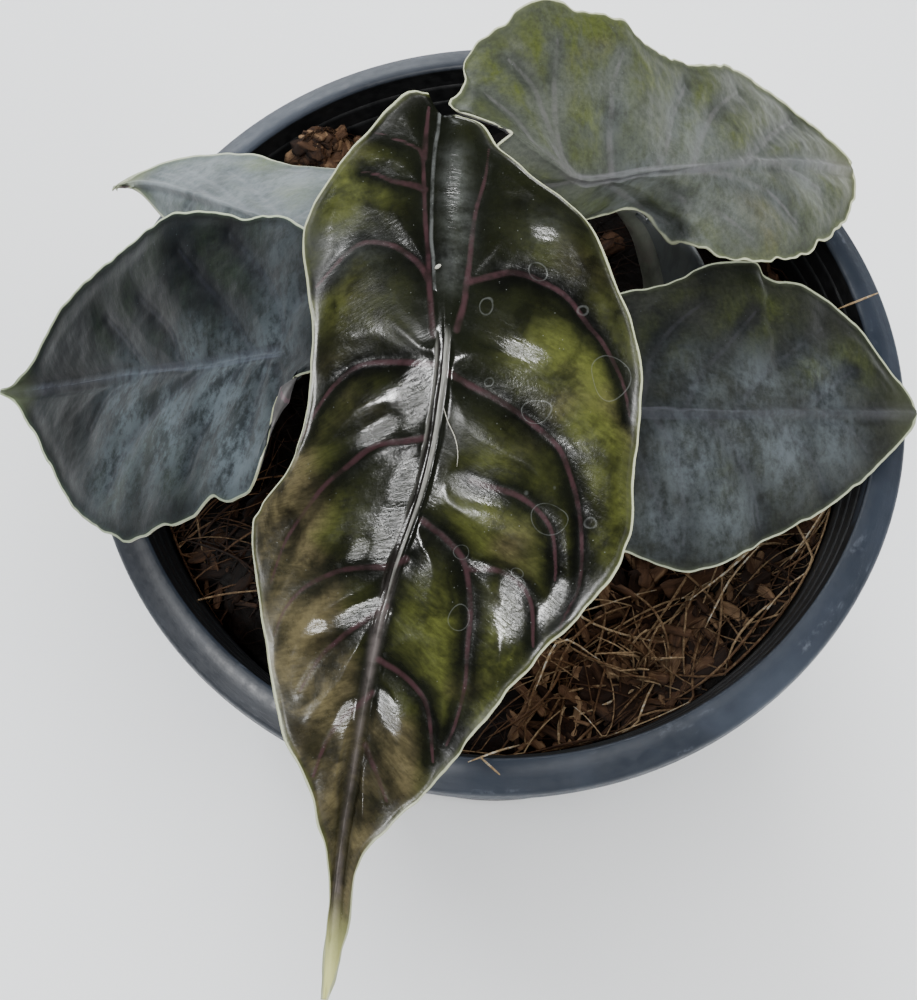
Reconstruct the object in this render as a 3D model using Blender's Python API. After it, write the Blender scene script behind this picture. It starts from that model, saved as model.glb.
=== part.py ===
"""Alocasia azlanii in its nursery pot.

A 160 mm pot filled with coconut husk holds a short rhizome. Five petioles rise from it, each
carrying one blade that is joined to it some way in from the notch between its basal lobes.
Lengths are millimetres, turned into metres as each mesh is made. +Z is up, the origin is the
centre of the pot's base, and the large front leaf points towards -Y.
"""

import math
import random

import bmesh
import bpy
import numpy as np

MM = 0.001
GAP = 0.3

# Pot
POT_HEIGHT = 120.0
RIM_RADIUS = 80.0
MOUTH_RADIUS = 73.5
BASE_RADIUS = 55.0
WALL = 1.2
FLOOR = 2.5
LIP_DROP = 2.9
SKIRT = 3.7
RIDGE_STEP = 0.5
RIDGE_HEIGHTS = (107.0, 111.0, 115.0)
POT_SIDES = 64
DRAIN_RADIUS = 5.0
DRAIN_CIRCLE = 38.0
DRAIN_COUNT = 8

# Substrate
FILL_DEPTH = 18.0
FILL_RELIEF = 1.6
CHIP_COUNT = 40
CHIP_LENGTH = (6.0, 13.0)
STRAND_COUNT = 24
STRAND_RADIUS = 0.45
STRAND_LENGTH = (14.0, 34.0)

# Rhizome and petioles
CROWN = (25.0, 8.0)
RHIZOME_RADIUS = 9.2
RHIZOME_SUNK = 14.0
RHIZOME_TOP = 108.0
PETIOLE_CIRCLE = 6.6
PETIOLE_BASE_RADIUS = 2.2
PETIOLE_TOP_RADIUS = 1.6
PETIOLE_COLLAR_RADIUS = 2.1
SEAT_REACH = 5.0
SEAT_GAP = 0.42

# Blades
BLADE_THICKNESS = 0.7
STATIONS = 32
ACROSS = 5
TIP_HALF_WIDTH = 0.6
MIDRIB_DEPTH = 0.7
QUILT_HEIGHT = 1.1

# Each blade is drawn by three curves of points: the midrib from the notch to the tip, and the
# margins on its left and right hand, looking from the petiole to the tip. "joint" is where the
# petiole meets the midrib, as a share of its length. "left_sweep" and "right_sweep" pair shares
# of the midrib with shares of the margin, which the side veins join, and "panels" counts the
# raised panels between side veins on the left and on the right.
BLADES = {
    "front": dict(
        midrib=[(-9.5, 1.5, 217), (-9, -16, 215), (-8, -34, 212), (-10.5, -51, 204), (-17, -70, 190.5),
                (-22.5, -98, 171.5), (-25.5, -122, 156)],
        left=[(-7, 1.5, 217), (-3, 0, 217), (-0.5, -4, 217), (3.5, -7.5, 217), (12.5, -14.5, 215),
              (16.5, -22.5, 214), (21, -35, 210), (20.5, -52, 204), (20, -60, 200), (16, -67, 197),
              (4, -78.5, 189), (-9, -92.5, 177.5), (-18, -100.5, 172), (-20.5, -106, 168),
              (-21.5, -112.5, 163.5), (-23.5, -118.5, 158.5)],
        right=[(-11.5, 5, 218), (-15, 4.5, 218), (-23, -3.5, 215), (-29, -13, 212), (-29.5, -21, 210),
               (-28, -29, 207), (-29, -42, 201), (-31.5, -48, 197), (-36, -52.5, 191.5),
               (-37.5, -55, 189), (-36.5, -63, 186.5), (-32.5, -83.5, 180), (-28, -93, 175),
               (-25, -104, 168), (-25.5, -113.5, 161.5)],
        joint=0.25,
        left_sweep=[(0, 0), (0.08, 0.14), (0.25, 0.37), (0.5, 0.61), (0.75, 0.82), (1, 1)],
        right_sweep=[(0, 0), (0.08, 0.2), (0.25, 0.38), (0.5, 0.56), (0.75, 0.8), (1, 1)],
        panels=(7, 8),
    ),
    "left": dict(
        midrib=[(-27, -31, 198), (-35.5, -25, 188), (-49, -21, 174), (-61, -16, 160), (-77.5, -10, 141),
                (-88, -6.5, 130), (-96, -4.5, 124)],
        left=[(-29, -32, 196), (-32.5, -31.5, 192), (-35.5, -34.5, 190), (-36.5, -42, 188),
              (-38.5, -47, 184), (-42, -47.5, 180), (-46, -45.5, 176), (-50, -47, 170), (-56, -46.5, 164),
              (-62, -46, 156), (-67, -43, 151), (-76, -34, 141), (-87, -15.5, 130), (-92.5, -7.5, 126)],
        right=[(-24.5, -27, 200), (-23, -22, 202), (-24, -16, 202), (-27, -10.5, 200), (-31, -6.5, 196),
               (-36.5, -1, 190), (-41.5, 1, 185), (-49, 5.5, 179), (-58, 7.5, 173), (-70, 6.5, 158),
               (-81, 4, 144), (-88, -2, 133), (-92.5, -4, 128)],
        joint=0.13,
        left_sweep=[(0, 0), (0.05, 0.12), (0.13, 0.26), (0.3, 0.42), (0.55, 0.64), (0.8, 0.85), (1, 1)],
        right_sweep=[(0, 0), (0.05, 0.16), (0.13, 0.29), (0.3, 0.44), (0.55, 0.66), (0.8, 0.86), (1, 1)],
        panels=(7, 7),
    ),
    "back_left": dict(
        midrib=[(-23, -2, 178), (-30.5, 5.5, 170), (-38.5, 11, 164), (-45.5, 17, 158), (-61.5, 31, 141),
                (-70.5, 37.5, 132), (-77.5, 39.5, 126)],
        left=[(-20.5, -4, 172), (-24, -5.5, 165), (-30, -5, 158), (-38, -2.5, 152), (-46, 3.5, 146),
              (-54, 11.5, 140), (-61, 22.5, 135), (-66, 30.5, 132.5), (-71, 36.5, 130), (-75, 39.5, 128)],
        right=[(-19, 2, 175), (-18.5, 8.5, 170), (-21, 17.5, 163), (-25.5, 26.5, 155), (-30.5, 30.5, 150),
               (-41.5, 35, 144), (-47, 39, 140), (-57, 42.5, 134), (-64.5, 43, 131), (-70.5, 41.5, 129.5),
               (-76, 40, 127)],
        joint=0.15,
        left_sweep=[(0, 0), (0.15, 0.22), (0.5, 0.56), (0.75, 0.79), (1, 1)],
        right_sweep=[(0, 0), (0.15, 0.24), (0.5, 0.54), (0.75, 0.76), (1, 1)],
        panels=(6, 6),
    ),
    "back_right": dict(
        midrib=[(1.5, 9, 200), (7.5, 8, 194), (13, 9, 186), (19, 12, 181.5), (25.5, 16, 177), (39, 24, 166),
                (54, 33.5, 151), (68.5, 42.5, 133)],
        left=[(0, 11, 199), (-5.5, 14.5, 196), (-9, 17.5, 194), (-6.5, 22.5, 193), (-7, 27.5, 192),
              (-1.5, 33.5, 193), (6, 38.5, 194), (14.5, 39.5, 189), (20, 40.5, 186), (25, 39.5, 179),
              (32.5, 42, 170), (39, 46, 164), (49, 49, 151), (60.5, 47, 140), (67, 44, 136)],
        right=[(-1.5, 6.5, 200), (-0.5, 6, 191), (5, 6.5, 180), (10.5, 9, 171), (14, 12.5, 166),
               (19.5, 15.5, 163.5), (25.5, 17, 161), (30.5, 13, 157.5), (34, 11, 160.5), (39.5, 9.5, 158),
               (45.5, 10.5, 155), (56, 16, 147), (67, 31, 136)],
        joint=0.18,
        left_sweep=[(0, 0), (0.08, 0.18), (0.18, 0.33), (0.3, 0.43), (0.55, 0.64), (0.8, 0.84), (1, 1)],
        right_sweep=[(0, 0), (0.18, 0.24), (0.4, 0.44), (0.55, 0.62), (0.8, 0.83), (1, 1)],
        panels=(8, 7),
    ),
    "right": dict(
        midrib=[(9.5, -25.5, 169), (18, -22, 161), (32, -19, 154), (47.5, -15.5, 146), (63.5, -11, 136),
                (80, -6, 125)],
        left=[(9.5, -22, 168), (10, -14, 164), (11, -6.5, 160), (13, -1, 157), (17.5, 2.5, 154),
              (24, 6, 150.5), (31.5, 8.5, 149.5), (37, 12.5, 148), (40.5, 14, 147), (47, 16, 144),
              (49.5, 13.5, 142), (57, 13.5, 139), (62, 12.5, 135), (68, 8.5, 132), (74, 2.5, 128),
              (78.5, -3, 126)],
        right=[(8.5, -30, 166), (8.5, -35.5, 162), (10, -40.5, 158), (14, -43.5, 154), (18.5, -44.5, 151),
               (24, -43.5, 147), (31, -45, 144), (36.5, -44.5, 142), (42.5, -41.5, 140), (49, -36.5, 137),
               (56, -32, 134), (63, -26.5, 131), (70.5, -19, 128), (77.5, -11, 126)],
        joint=0.13,
        left_sweep=[(0, 0), (0.06, 0.12), (0.13, 0.22), (0.3, 0.37), (0.55, 0.57), (0.8, 0.81), (1, 1)],
        right_sweep=[(0, 0), (0.06, 0.14), (0.13, 0.26), (0.3, 0.41), (0.55, 0.62), (0.8, 0.84), (1, 1)],
        panels=(7, 7),
    ),
}

# Each petiole: where it stands round the crown, in degrees, and the points that it passes on its
# way up to its blade.
PETIOLES = {
    "front": (-115, [(18, -3, 128), (8, -12, 155), (-1, -22, 182), (-6, -30, 201)]),
    "left": (-165, [(12, 3, 122), (-6, -7, 146), (-22, -17, 168), (-32, -23, 181)]),
    "back_left": (145, [(13, 13, 120), (-1, 12, 134), (-16, 9, 151), (-27, 6, 163)]),
    "back_right": (50, [(29.5, 18, 122), (26.5, 21.5, 138), (22.5, 21.5, 152), (17.5, 18.5, 166)]),
    "right": (-55, [(29, -3, 122), (26, -12, 138), (20.5, -19.5, 152)]),
}

# The open sheath beside the petiole at the back right: heights and widths of the wing.
SHEATH_WIDTHS = [(110, 6.0), (122, 9.5), (136, 11.0), (146, 9.0), (154, 3.0)]
SHEATH_ROWS = 9
SHEATH_THICKNESS = 0.8


def clear_scene():
    for old in list(bpy.data.objects):
        bpy.data.objects.remove(old, do_unlink=True)


def material(name, colour, roughness):
    made = bpy.data.materials.new(name)
    made.use_nodes = True
    surface = made.node_tree.nodes["Principled BSDF"]
    surface.inputs["Base Color"].default_value = (*colour, 1.0)
    surface.inputs["Roughness"].default_value = roughness
    surface.inputs["Metallic"].default_value = 0.0
    made.diffuse_color = (*colour, 1.0)
    return made


def add_object(name, points, faces, look=None, smooth_angle=None):
    """A mesh object from points in millimetres."""
    mesh = bpy.data.meshes.new(name)
    mesh.from_pydata([tuple(MM * float(value) for value in point) for point in points], [], faces)
    mesh.update()
    if smooth_angle is not None:
        mesh.shade_smooth()
        mesh.set_sharp_from_angle(angle=math.radians(smooth_angle))
    if look:
        mesh.materials.append(look)
    made = bpy.data.objects.new(name, mesh)
    bpy.context.scene.collection.objects.link(made)
    return made


def apply_modifiers(target):
    """Replaces the object's mesh by its evaluated one, without its modifiers."""
    bpy.context.view_layer.update()
    graph = bpy.context.evaluated_depsgraph_get()
    mesh = bpy.data.meshes.new_from_object(target.evaluated_get(graph))
    target.modifiers.clear()
    target.data = mesh
    return target


def weld(mesh):
    """Makes points that lie together one, and turns the faces outwards."""
    shape = bmesh.new()
    shape.from_mesh(mesh)
    bmesh.ops.remove_doubles(shape, verts=shape.verts, dist=0.00001)
    bmesh.ops.recalc_face_normals(shape, faces=shape.faces)
    shape.to_mesh(mesh)
    shape.free()


def unite(target, others, solver="EXACT"):
    """Joins the others to the target by one Boolean union, and removes them."""
    group = bpy.data.collections.new("repeats")
    bpy.context.scene.collection.children.link(group)
    for other in others:
        bpy.context.scene.collection.objects.unlink(other)
        group.objects.link(other)
    union = target.modifiers.new("union", "BOOLEAN")
    union.operation = "UNION"
    union.operand_type = "COLLECTION"
    union.collection = group
    union.solver = solver
    apply_modifiers(target)
    for other in others:
        bpy.data.objects.remove(other, do_unlink=True)
    bpy.data.collections.remove(group)
    return target


def cut(target, cutter):
    """Takes the cutter away from the target, and removes it."""
    difference = target.modifiers.new("cut", "BOOLEAN")
    difference.operation = "DIFFERENCE"
    difference.object = cutter
    difference.solver = "EXACT"
    apply_modifiers(target)
    bpy.data.objects.remove(cutter, do_unlink=True)
    return target


def cylinder(name, radius, low, high, centre=(0.0, 0.0), sides=16):
    shape = bmesh.new()
    bmesh.ops.create_cone(shape, cap_ends=True, segments=sides, radius1=radius * MM, radius2=radius * MM,
                          depth=(high - low) * MM)
    mesh = bpy.data.meshes.new(name)
    shape.to_mesh(mesh)
    shape.free()
    made = bpy.data.objects.new(name, mesh)
    made.location = (centre[0] * MM, centre[1] * MM, (low + high) / 2 * MM)
    bpy.context.scene.collection.objects.link(made)
    return made


def smooth_curve(points, shares):
    """Points at shares of the length of a Catmull-Rom curve through the given points."""
    points = np.array(points, float)
    ends = np.vstack([2 * points[0] - points[1], points, 2 * points[-1] - points[-2]])
    dense = []
    for before, start, end, after in zip(ends, ends[1:], ends[2:], ends[3:]):
        for t in np.linspace(0, 1, 16, endpoint=False):
            bend = 2 * before - 5 * start + 4 * end - after
            twist = -before + 3 * start - 3 * end + after
            dense.append(start + 0.5 * ((end - before) * t + bend * t**2 + twist * t**3))
    dense = np.array(dense + [points[-1]])
    lengths = np.concatenate([[0], np.cumsum(np.linalg.norm(np.diff(dense, axis=0), axis=1))])
    where = np.array(shares) * lengths[-1]
    return np.stack([np.interp(where, lengths, dense[:, axis]) for axis in range(3)], axis=1)


def unit(vectors):
    return vectors / np.linalg.norm(vectors, axis=-1, keepdims=True)


def inner_radius(height):
    """The radius of the pot's inner wall below its ridges."""
    share = (height - FLOOR) / (POT_HEIGHT - FLOOR)
    steps = RIDGE_STEP * len(RIDGE_HEIGHTS)
    return (BASE_RADIUS - WALL) + (MOUTH_RADIUS - steps - BASE_RADIUS + WALL) * share


def pot_profile():
    """Radius and height along the wall: floor, up the inner side, over the lip, down the outer side."""
    profile = [(0, FLOOR), (inner_radius(FLOOR), FLOOR)]
    for index, height in enumerate(RIDGE_HEIGHTS):
        wall = inner_radius(height) + RIDGE_STEP * index
        profile += [(wall, height), (wall + RIDGE_STEP, height + RIDGE_STEP)]
    under_lip = POT_HEIGHT - LIP_DROP - WALL
    outer_top = MOUTH_RADIUS + WALL
    profile += [
        (MOUTH_RADIUS, POT_HEIGHT - 0.6),
        (MOUTH_RADIUS + 0.6, POT_HEIGHT),
        (RIM_RADIUS - 0.6, POT_HEIGHT - LIP_DROP + 0.4),
        (RIM_RADIUS, POT_HEIGHT - LIP_DROP - 0.4),
        (RIM_RADIUS, POT_HEIGHT - LIP_DROP - SKIRT),
        (RIM_RADIUS - WALL, POT_HEIGHT - LIP_DROP - SKIRT),
        (RIM_RADIUS - WALL, under_lip - 0.2),
        (outer_top, under_lip + 1.6),
        (BASE_RADIUS + 0.4, 2.0),
        (BASE_RADIUS - 1.6, 0),
        (0, 0),
    ]
    return profile


def make_pot(look):
    points = [(radius, 0, height) for radius, height in pot_profile()]
    mesh = bpy.data.meshes.new("pot")
    edges = [(index, index + 1) for index in range(len(points) - 1)]
    mesh.from_pydata([tuple(MM * value for value in point) for point in points], edges, [])
    mesh.materials.append(look)
    pot = bpy.data.objects.new("pot", mesh)
    bpy.context.scene.collection.objects.link(pot)
    screw = pot.modifiers.new("turn", "SCREW")
    screw.steps = POT_SIDES
    screw.render_steps = POT_SIDES
    screw.use_merge_vertices = True
    screw.merge_threshold = 0.00001
    apply_modifiers(pot)
    weld(pot.data)
    for index in range(DRAIN_COUNT):
        angle = 2 * math.pi * (index + 0.5) / DRAIN_COUNT
        centre = (DRAIN_CIRCLE * math.cos(angle), DRAIN_CIRCLE * math.sin(angle))
        cut(pot, cylinder("drain", DRAIN_RADIUS, -1, FLOOR + 1, centre, sides=12))
    weld(pot.data)
    pot.data.shade_smooth()
    pot.data.set_sharp_from_angle(angle=math.radians(35))
    return pot


def fill_height(x, y):
    """The substrate's surface: low mounds, a little higher round the crown."""
    level = POT_HEIGHT - FILL_DEPTH
    waves = math.sin(0.13 * x + 0.4) * math.cos(0.11 * y - 0.7) + 0.5 * math.sin(0.21 * x - 0.17 * y)
    distance = math.hypot(x - CROWN[0], y - CROWN[1])
    return level + FILL_RELIEF * waves + 2.0 * math.exp(-(distance / 22) ** 2)


def make_fill():
    """The filled body: a disc of rings on top, straight tapered sides and a flat bottom."""
    sides = 40
    bottom = FLOOR + GAP
    edge_level = POT_HEIGHT - FILL_DEPTH
    edge = inner_radius(edge_level - 3) - GAP
    radii = [12, 24, 36, 48, 60, edge]
    points = [(0, 0, fill_height(0, 0))]
    faces = []
    for radius in radii:
        for index in range(sides):
            angle = 2 * math.pi * index / sides
            x = radius * math.cos(angle)
            y = radius * math.sin(angle)
            points.append((x, y, fill_height(x, y) if radius < edge else edge_level - 3))
    for index in range(sides):
        angle = 2 * math.pi * index / sides
        radius = inner_radius(bottom) - GAP
        points.append((radius * math.cos(angle), radius * math.sin(angle), bottom))
    points.append((0, 0, bottom))
    for index in range(sides):
        after = (index + 1) % sides
        faces.append((0, 1 + index, 1 + after))
        for ring in range(len(radii)):
            start = 1 + ring * sides
            faces.append((start + index, start + sides + index, start + sides + after, start + after))
        last = 1 + len(radii) * sides
        faces.append((len(points) - 1, last + after, last + index))
    return add_object("substrate", points, faces)


def husk_chip(rng, x, y):
    """One chunk of husk: a bent, tapered block, sunk half into the fill."""
    length = rng.uniform(*CHIP_LENGTH)
    width = length * rng.uniform(0.45, 0.7)
    height = rng.uniform(3.0, 5.0)
    turn = rng.uniform(0, 2 * math.pi)
    tilt = rng.uniform(-0.35, 0.35)
    middle = fill_height(x, y) + rng.uniform(-0.8, 0.6)
    points = []
    for level, spread in ((-0.5, 1.0), (0.5, 0.72)):
        for corner in range(6):
            angle = math.pi / 3 * corner + rng.uniform(-0.2, 0.2)
            along = spread * length / 2 * math.cos(angle)
            across = spread * width / 2 * math.sin(angle)
            points.append((
                x + along * math.cos(turn) - across * math.sin(turn),
                y + along * math.sin(turn) + across * math.cos(turn),
                middle + height * level + along * tilt,
            ))
    faces = [(5, 4, 3, 2, 1, 0), (6, 7, 8, 9, 10, 11)]
    for corner in range(6):
        after = (corner + 1) % 6
        faces.append((corner, after, after + 6, corner + 6))
    return add_object("chip", points, faces)


def tube(name, points, radii, sides):
    """A closed tube through the points, from a poly curve with filled caps."""
    curve = bpy.data.curves.new(name, "CURVE")
    curve.dimensions = "3D"
    curve.bevel_depth = MM
    curve.bevel_resolution = sides // 2 - 2
    curve.use_fill_caps = True
    spline = curve.splines.new("POLY")
    spline.points.add(len(points) - 1)
    for knot, point, radius in zip(spline.points, points, radii):
        knot.co = (*(MM * value for value in point), 1)
        knot.radius = radius
    guide = bpy.data.objects.new(name, curve)
    bpy.context.scene.collection.objects.link(guide)
    bpy.context.view_layer.update()
    mesh = bpy.data.meshes.new_from_object(guide)
    bpy.data.objects.remove(guide, do_unlink=True)
    weld(mesh)
    made = bpy.data.objects.new(name, mesh)
    bpy.context.scene.collection.objects.link(made)
    return made


def husk_strand(rng, x, y):
    """One long fibre that arches over the fill, with both ends sunk in."""
    length = rng.uniform(*STRAND_LENGTH)
    turn = rng.uniform(0, 2 * math.pi)
    bow = rng.uniform(-0.3, 0.3) * length
    lift = rng.uniform(1.2, 2.6)
    points = []
    for t in (-1.0, -0.6, -0.2, 0.2, 0.6, 1.0):
        along = t * length / 2
        across = bow * (1 - t * t) - bow / 2
        px = x + along * math.cos(turn) - across * math.sin(turn)
        py = y + along * math.sin(turn) + across * math.cos(turn)
        points.append((px, py, fill_height(px, py) + lift * (1 - t * t) - 1.2 * abs(t) ** 3))
    return tube("strand", points, [STRAND_RADIUS] * len(points), 4)


def free_spot(rng, reach, clear):
    """A point on the fill that keeps clear of the crown by that much."""
    while True:
        radius = reach * math.sqrt(rng.random())
        angle = 2 * math.pi * rng.random()
        x = radius * math.cos(angle)
        y = radius * math.sin(angle)
        if math.hypot(x - CROWN[0], y - CROWN[1]) > RHIZOME_RADIUS + clear:
            return x, y


def make_substrate(look):
    rng = random.Random(11)
    fill = make_fill()
    hole_low = fill_height(*CROWN) - RHIZOME_SUNK - GAP
    cut(fill, cylinder("hole", RHIZOME_RADIUS + GAP, hole_low, POT_HEIGHT, CROWN, sides=20))
    reach = inner_radius(POT_HEIGHT - FILL_DEPTH) - 10
    repeats = [husk_chip(rng, *free_spot(rng, reach, CHIP_LENGTH[1])) for _ in range(CHIP_COUNT)]
    clear = STRAND_LENGTH[1] / 2 + 3
    repeats += [husk_strand(rng, *free_spot(rng, reach - 8, clear)) for _ in range(STRAND_COUNT)]
    unite(fill, repeats)
    fill.data.materials.clear()
    fill.data.materials.append(look)
    return fill


def make_rhizome(look):
    """The stem base: a short column with rings of old leaf scars."""
    sides = 20
    low = fill_height(*CROWN) - RHIZOME_SUNK
    rings = [(low, 0.8), (low + 2, 0.96), (103.0, 0.96), (103.6, 1.0), (105.0, 0.94), (105.6, 0.98),
             (106.8, 0.95), (RHIZOME_TOP, 0.97)]
    points = []
    faces = []
    for height, share in rings:
        for index in range(sides):
            angle = 2 * math.pi * index / sides
            radius = RHIZOME_RADIUS * share
            points.append((CROWN[0] + radius * math.cos(angle), CROWN[1] + radius * math.sin(angle), height))
    for ring in range(len(rings) - 1):
        for index in range(sides):
            after = (index + 1) % sides
            start = ring * sides
            faces.append((start + index, start + after, start + sides + after, start + sides + index))
    faces.append(tuple(reversed(range(sides))))
    faces.append(tuple(range((len(rings) - 1) * sides, len(rings) * sides)))
    return add_object("rhizome", points, faces, look, smooth_angle=35)


def blade_surface(leaf):
    """A grid of points, stations along the midrib by places across, and its unit normals."""
    shares = np.linspace(0, 1, STATIONS + 1)
    midrib = smooth_curve(leaf["midrib"], shares)
    forward = unit(midrib[-1] - midrib[-2])
    sides = {}
    for side, sign in (("left", 1), ("right", -1)):
        across = sign * TIP_HALF_WIDTH * unit(np.array([-forward[1], forward[0], 0.0]))
        sweep = np.array(leaf[side + "_sweep"])
        where = np.interp(shares, sweep[:, 0], sweep[:, 1])
        sides[sign] = (smooth_curve(leaf[side] + [tuple(midrib[-1] + across)], where), where)
    grid = np.empty((STATIONS + 1, 2 * ACROSS + 1, 3))
    relief = np.zeros((STATIONS + 1, 2 * ACROSS + 1))
    for place in range(-ACROSS, ACROSS + 1):
        share = abs(place) / ACROSS
        margin, where = sides[1 if place >= 0 else -1]
        grid[:, place + ACROSS] = midrib + (margin - midrib) * share
        panels = leaf["panels"][0 if place >= 0 else 1]
        half_width = np.linalg.norm(margin - midrib, axis=1)
        depth = np.minimum(1.0, half_width / 12)
        quilt = np.sin(math.pi * panels * where) ** 2 * QUILT_HEIGHT * math.sin(math.pi * share) ** 0.5
        relief[:, place + ACROSS] = depth * (quilt - MIDRIB_DEPTH * max(0.0, 1 - 3 * share))
    along = np.gradient(grid, axis=0)
    across = np.gradient(grid, axis=1)
    normals = unit(np.cross(along, across))
    return grid + normals * relief[..., None], normals


def make_blade(name, leaf, look):
    grid, _ = blade_surface(leaf)
    rows, places = grid.shape[:2]
    faces = []
    for row in range(rows - 1):
        for place in range(places - 1):
            a = row * places + place
            b = a + 1
            c = a + places + 1
            d = a + places
            if place < ACROSS:
                faces += [(a, d, b), (b, d, c)]
            else:
                faces += [(a, d, c), (a, c, b)]
    blade = add_object(name + "_blade", grid.reshape(-1, 3), faces, look)
    solid = blade.modifiers.new("thickness", "SOLIDIFY")
    solid.thickness = BLADE_THICKNESS * MM
    solid.offset = 0.0
    blade.data.shade_smooth()
    return blade


def seat_under(leaf):
    """Where the petiole ends under the midrib, and the direction in which it arrives there."""
    grid, normals = blade_surface(leaf)
    row = round(leaf["joint"] * STATIONS)
    normal = unit(normals[row, ACROSS - 1] + normals[row, ACROSS + 1])
    joint = grid[row, ACROSS]
    near = grid[row - 1:row + 2, ACROSS - 1:ACROSS + 2].reshape(-1, 3) - joint
    near = near[np.linalg.norm(near, axis=1) > 0]
    slopes = near @ normal / np.linalg.norm(near, axis=1)
    fold = PETIOLE_COLLAR_RADIUS * max(0.0, -slopes.min())
    return joint - normal * (BLADE_THICKNESS / 2 + SEAT_GAP + fold), normal


def petiole_path(name, count=15):
    angle, way = PETIOLES[name]
    seat, normal = seat_under(BLADES[name])
    foot = (
        CROWN[0] + PETIOLE_CIRCLE * math.cos(math.radians(angle)),
        CROWN[1] + PETIOLE_CIRCLE * math.sin(math.radians(angle)),
    )
    start = (*foot, RHIZOME_TOP + GAP)
    end = tuple(seat - normal)
    points = [(*foot, RHIZOME_TOP + 2)] + way + [tuple(seat - SEAT_REACH * normal), end]
    return np.vstack([start, smooth_curve(points, np.linspace(0, 1, count)), seat])


def make_petiole(name, look):
    path = petiole_path(name)
    shares = np.linspace(0, 1, len(path))
    radii = PETIOLE_BASE_RADIUS + (PETIOLE_TOP_RADIUS - PETIOLE_BASE_RADIUS) * shares
    radii[-1] = PETIOLE_COLLAR_RADIUS
    petiole = tube(name + "_petiole", path, radii, 8)
    petiole.data.materials.append(look)
    petiole.data.shade_smooth()
    petiole.data.set_sharp_from_angle(angle=math.radians(50))
    return petiole


def add_sheath(petiole, path):
    """The wing of the petiole at the back right, which stands open towards +X."""
    heights, widths = zip(*SHEATH_WIDTHS)
    points = []
    for height in np.linspace(heights[0], heights[-1], SHEATH_ROWS):
        width = float(np.interp(height, heights, widths))
        start = [float(np.interp(height, path[:, 2], path[:, axis])) for axis in range(2)]
        for share in (0.0, 0.35, 0.7, 1.0):
            points.append((start[0] + width * share, start[1] - 0.5 - 2.5 * share**2, height))
    faces = []
    for row in range(SHEATH_ROWS - 1):
        for place in range(3):
            a = row * 4 + place
            faces += [(a, a + 1, a + 5), (a, a + 5, a + 4)]
    wing = add_object("wing", points, faces)
    solid = wing.modifiers.new("thickness", "SOLIDIFY")
    solid.thickness = SHEATH_THICKNESS * MM
    solid.offset = 0.0
    apply_modifiers(wing)
    return unite(petiole, [wing])


def build():
    clear_scene()
    make_pot(material("pot_plastic", (0.012, 0.013, 0.015), 0.45))
    make_substrate(material("coconut_husk", (0.035, 0.018, 0.012), 0.9))
    make_rhizome(material("rhizome_bark", (0.09, 0.06, 0.035), 0.8))
    stalk = material("petiole_skin", (0.07, 0.085, 0.06), 0.45)
    for name in BLADES:
        petiole = make_petiole(name, stalk)
        if name == "back_right":
            add_sheath(petiole, petiole_path(name))
    looks = {
        "front": material("leaf_dark_green", (0.018, 0.024, 0.012), 0.3),
        "left": material("leaf_blue_grey", (0.03, 0.042, 0.045), 0.4),
        "back_left": material("leaf_silver", (0.16, 0.17, 0.17), 0.4),
        "back_right": material("leaf_grey_green", (0.12, 0.14, 0.1), 0.4),
        "right": material("leaf_olive_grey", (0.05, 0.06, 0.045), 0.45),
    }
    for name, leaf in BLADES.items():
        make_blade(name, leaf, looks[name])


build()
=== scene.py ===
# %% [markdown]
# # Alocasia azlanii in its nursery pot
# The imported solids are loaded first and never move. Each cell below dresses one of them: the
# thick quilted leaves, their stalks, the coconut husk and the black pot. Lengths in the shape
# code are millimetres, because leaves and fibres are easiest to think of that way, and they
# become metres when a mesh is made.

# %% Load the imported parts
import math
import random

import bmesh
import bpy
import numpy as np
from mathutils import Matrix, Vector


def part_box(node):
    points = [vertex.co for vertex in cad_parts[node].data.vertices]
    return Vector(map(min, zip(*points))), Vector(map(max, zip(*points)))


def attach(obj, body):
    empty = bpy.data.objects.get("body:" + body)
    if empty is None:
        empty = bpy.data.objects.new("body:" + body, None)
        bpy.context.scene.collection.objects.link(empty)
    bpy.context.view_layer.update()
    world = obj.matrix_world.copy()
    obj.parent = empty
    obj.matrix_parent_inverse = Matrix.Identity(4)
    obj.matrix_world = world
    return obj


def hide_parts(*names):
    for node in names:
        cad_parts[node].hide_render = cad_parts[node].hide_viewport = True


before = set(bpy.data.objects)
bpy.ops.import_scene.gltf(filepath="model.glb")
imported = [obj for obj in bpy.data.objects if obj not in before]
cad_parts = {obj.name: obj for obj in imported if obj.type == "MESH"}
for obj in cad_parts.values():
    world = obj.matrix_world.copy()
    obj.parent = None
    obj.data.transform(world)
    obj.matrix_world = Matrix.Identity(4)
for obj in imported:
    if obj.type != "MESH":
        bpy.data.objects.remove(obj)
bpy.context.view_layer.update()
MM = 0.001
print("packed parts:", sorted(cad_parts))

# %% [markdown]
# ## The camera
# The photograph looks down into the pot from about 66 degrees above the table. The camera is
# made before the leaves, because the side veins of each leaf are drawn where the photograph
# shows them: a vein is a list of picture points, and each point is carried onto the leaf below.

# %% Set the camera
IMAGE_WIDTH = 917
IMAGE_HEIGHT = 1000
FOCAL_PIXELS = 2041.2
SENSOR = 36.0
CAMERA_ELEVATION = math.radians(65.92)
CAMERA_ROLL = math.radians(-1.64)
CAMERA_DISTANCE = 400.0
AIM_X = -7.1
AIM_Y = -23.5
RIM_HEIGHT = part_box("pot")[1].z / MM
NEAREST_SEEN = 0.01


def placed(name, data):
    """A new object in the scene for a mesh, a lamp or a camera."""
    made = bpy.data.objects.new(name, data)
    bpy.context.scene.collection.objects.link(made)
    return made


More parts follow.
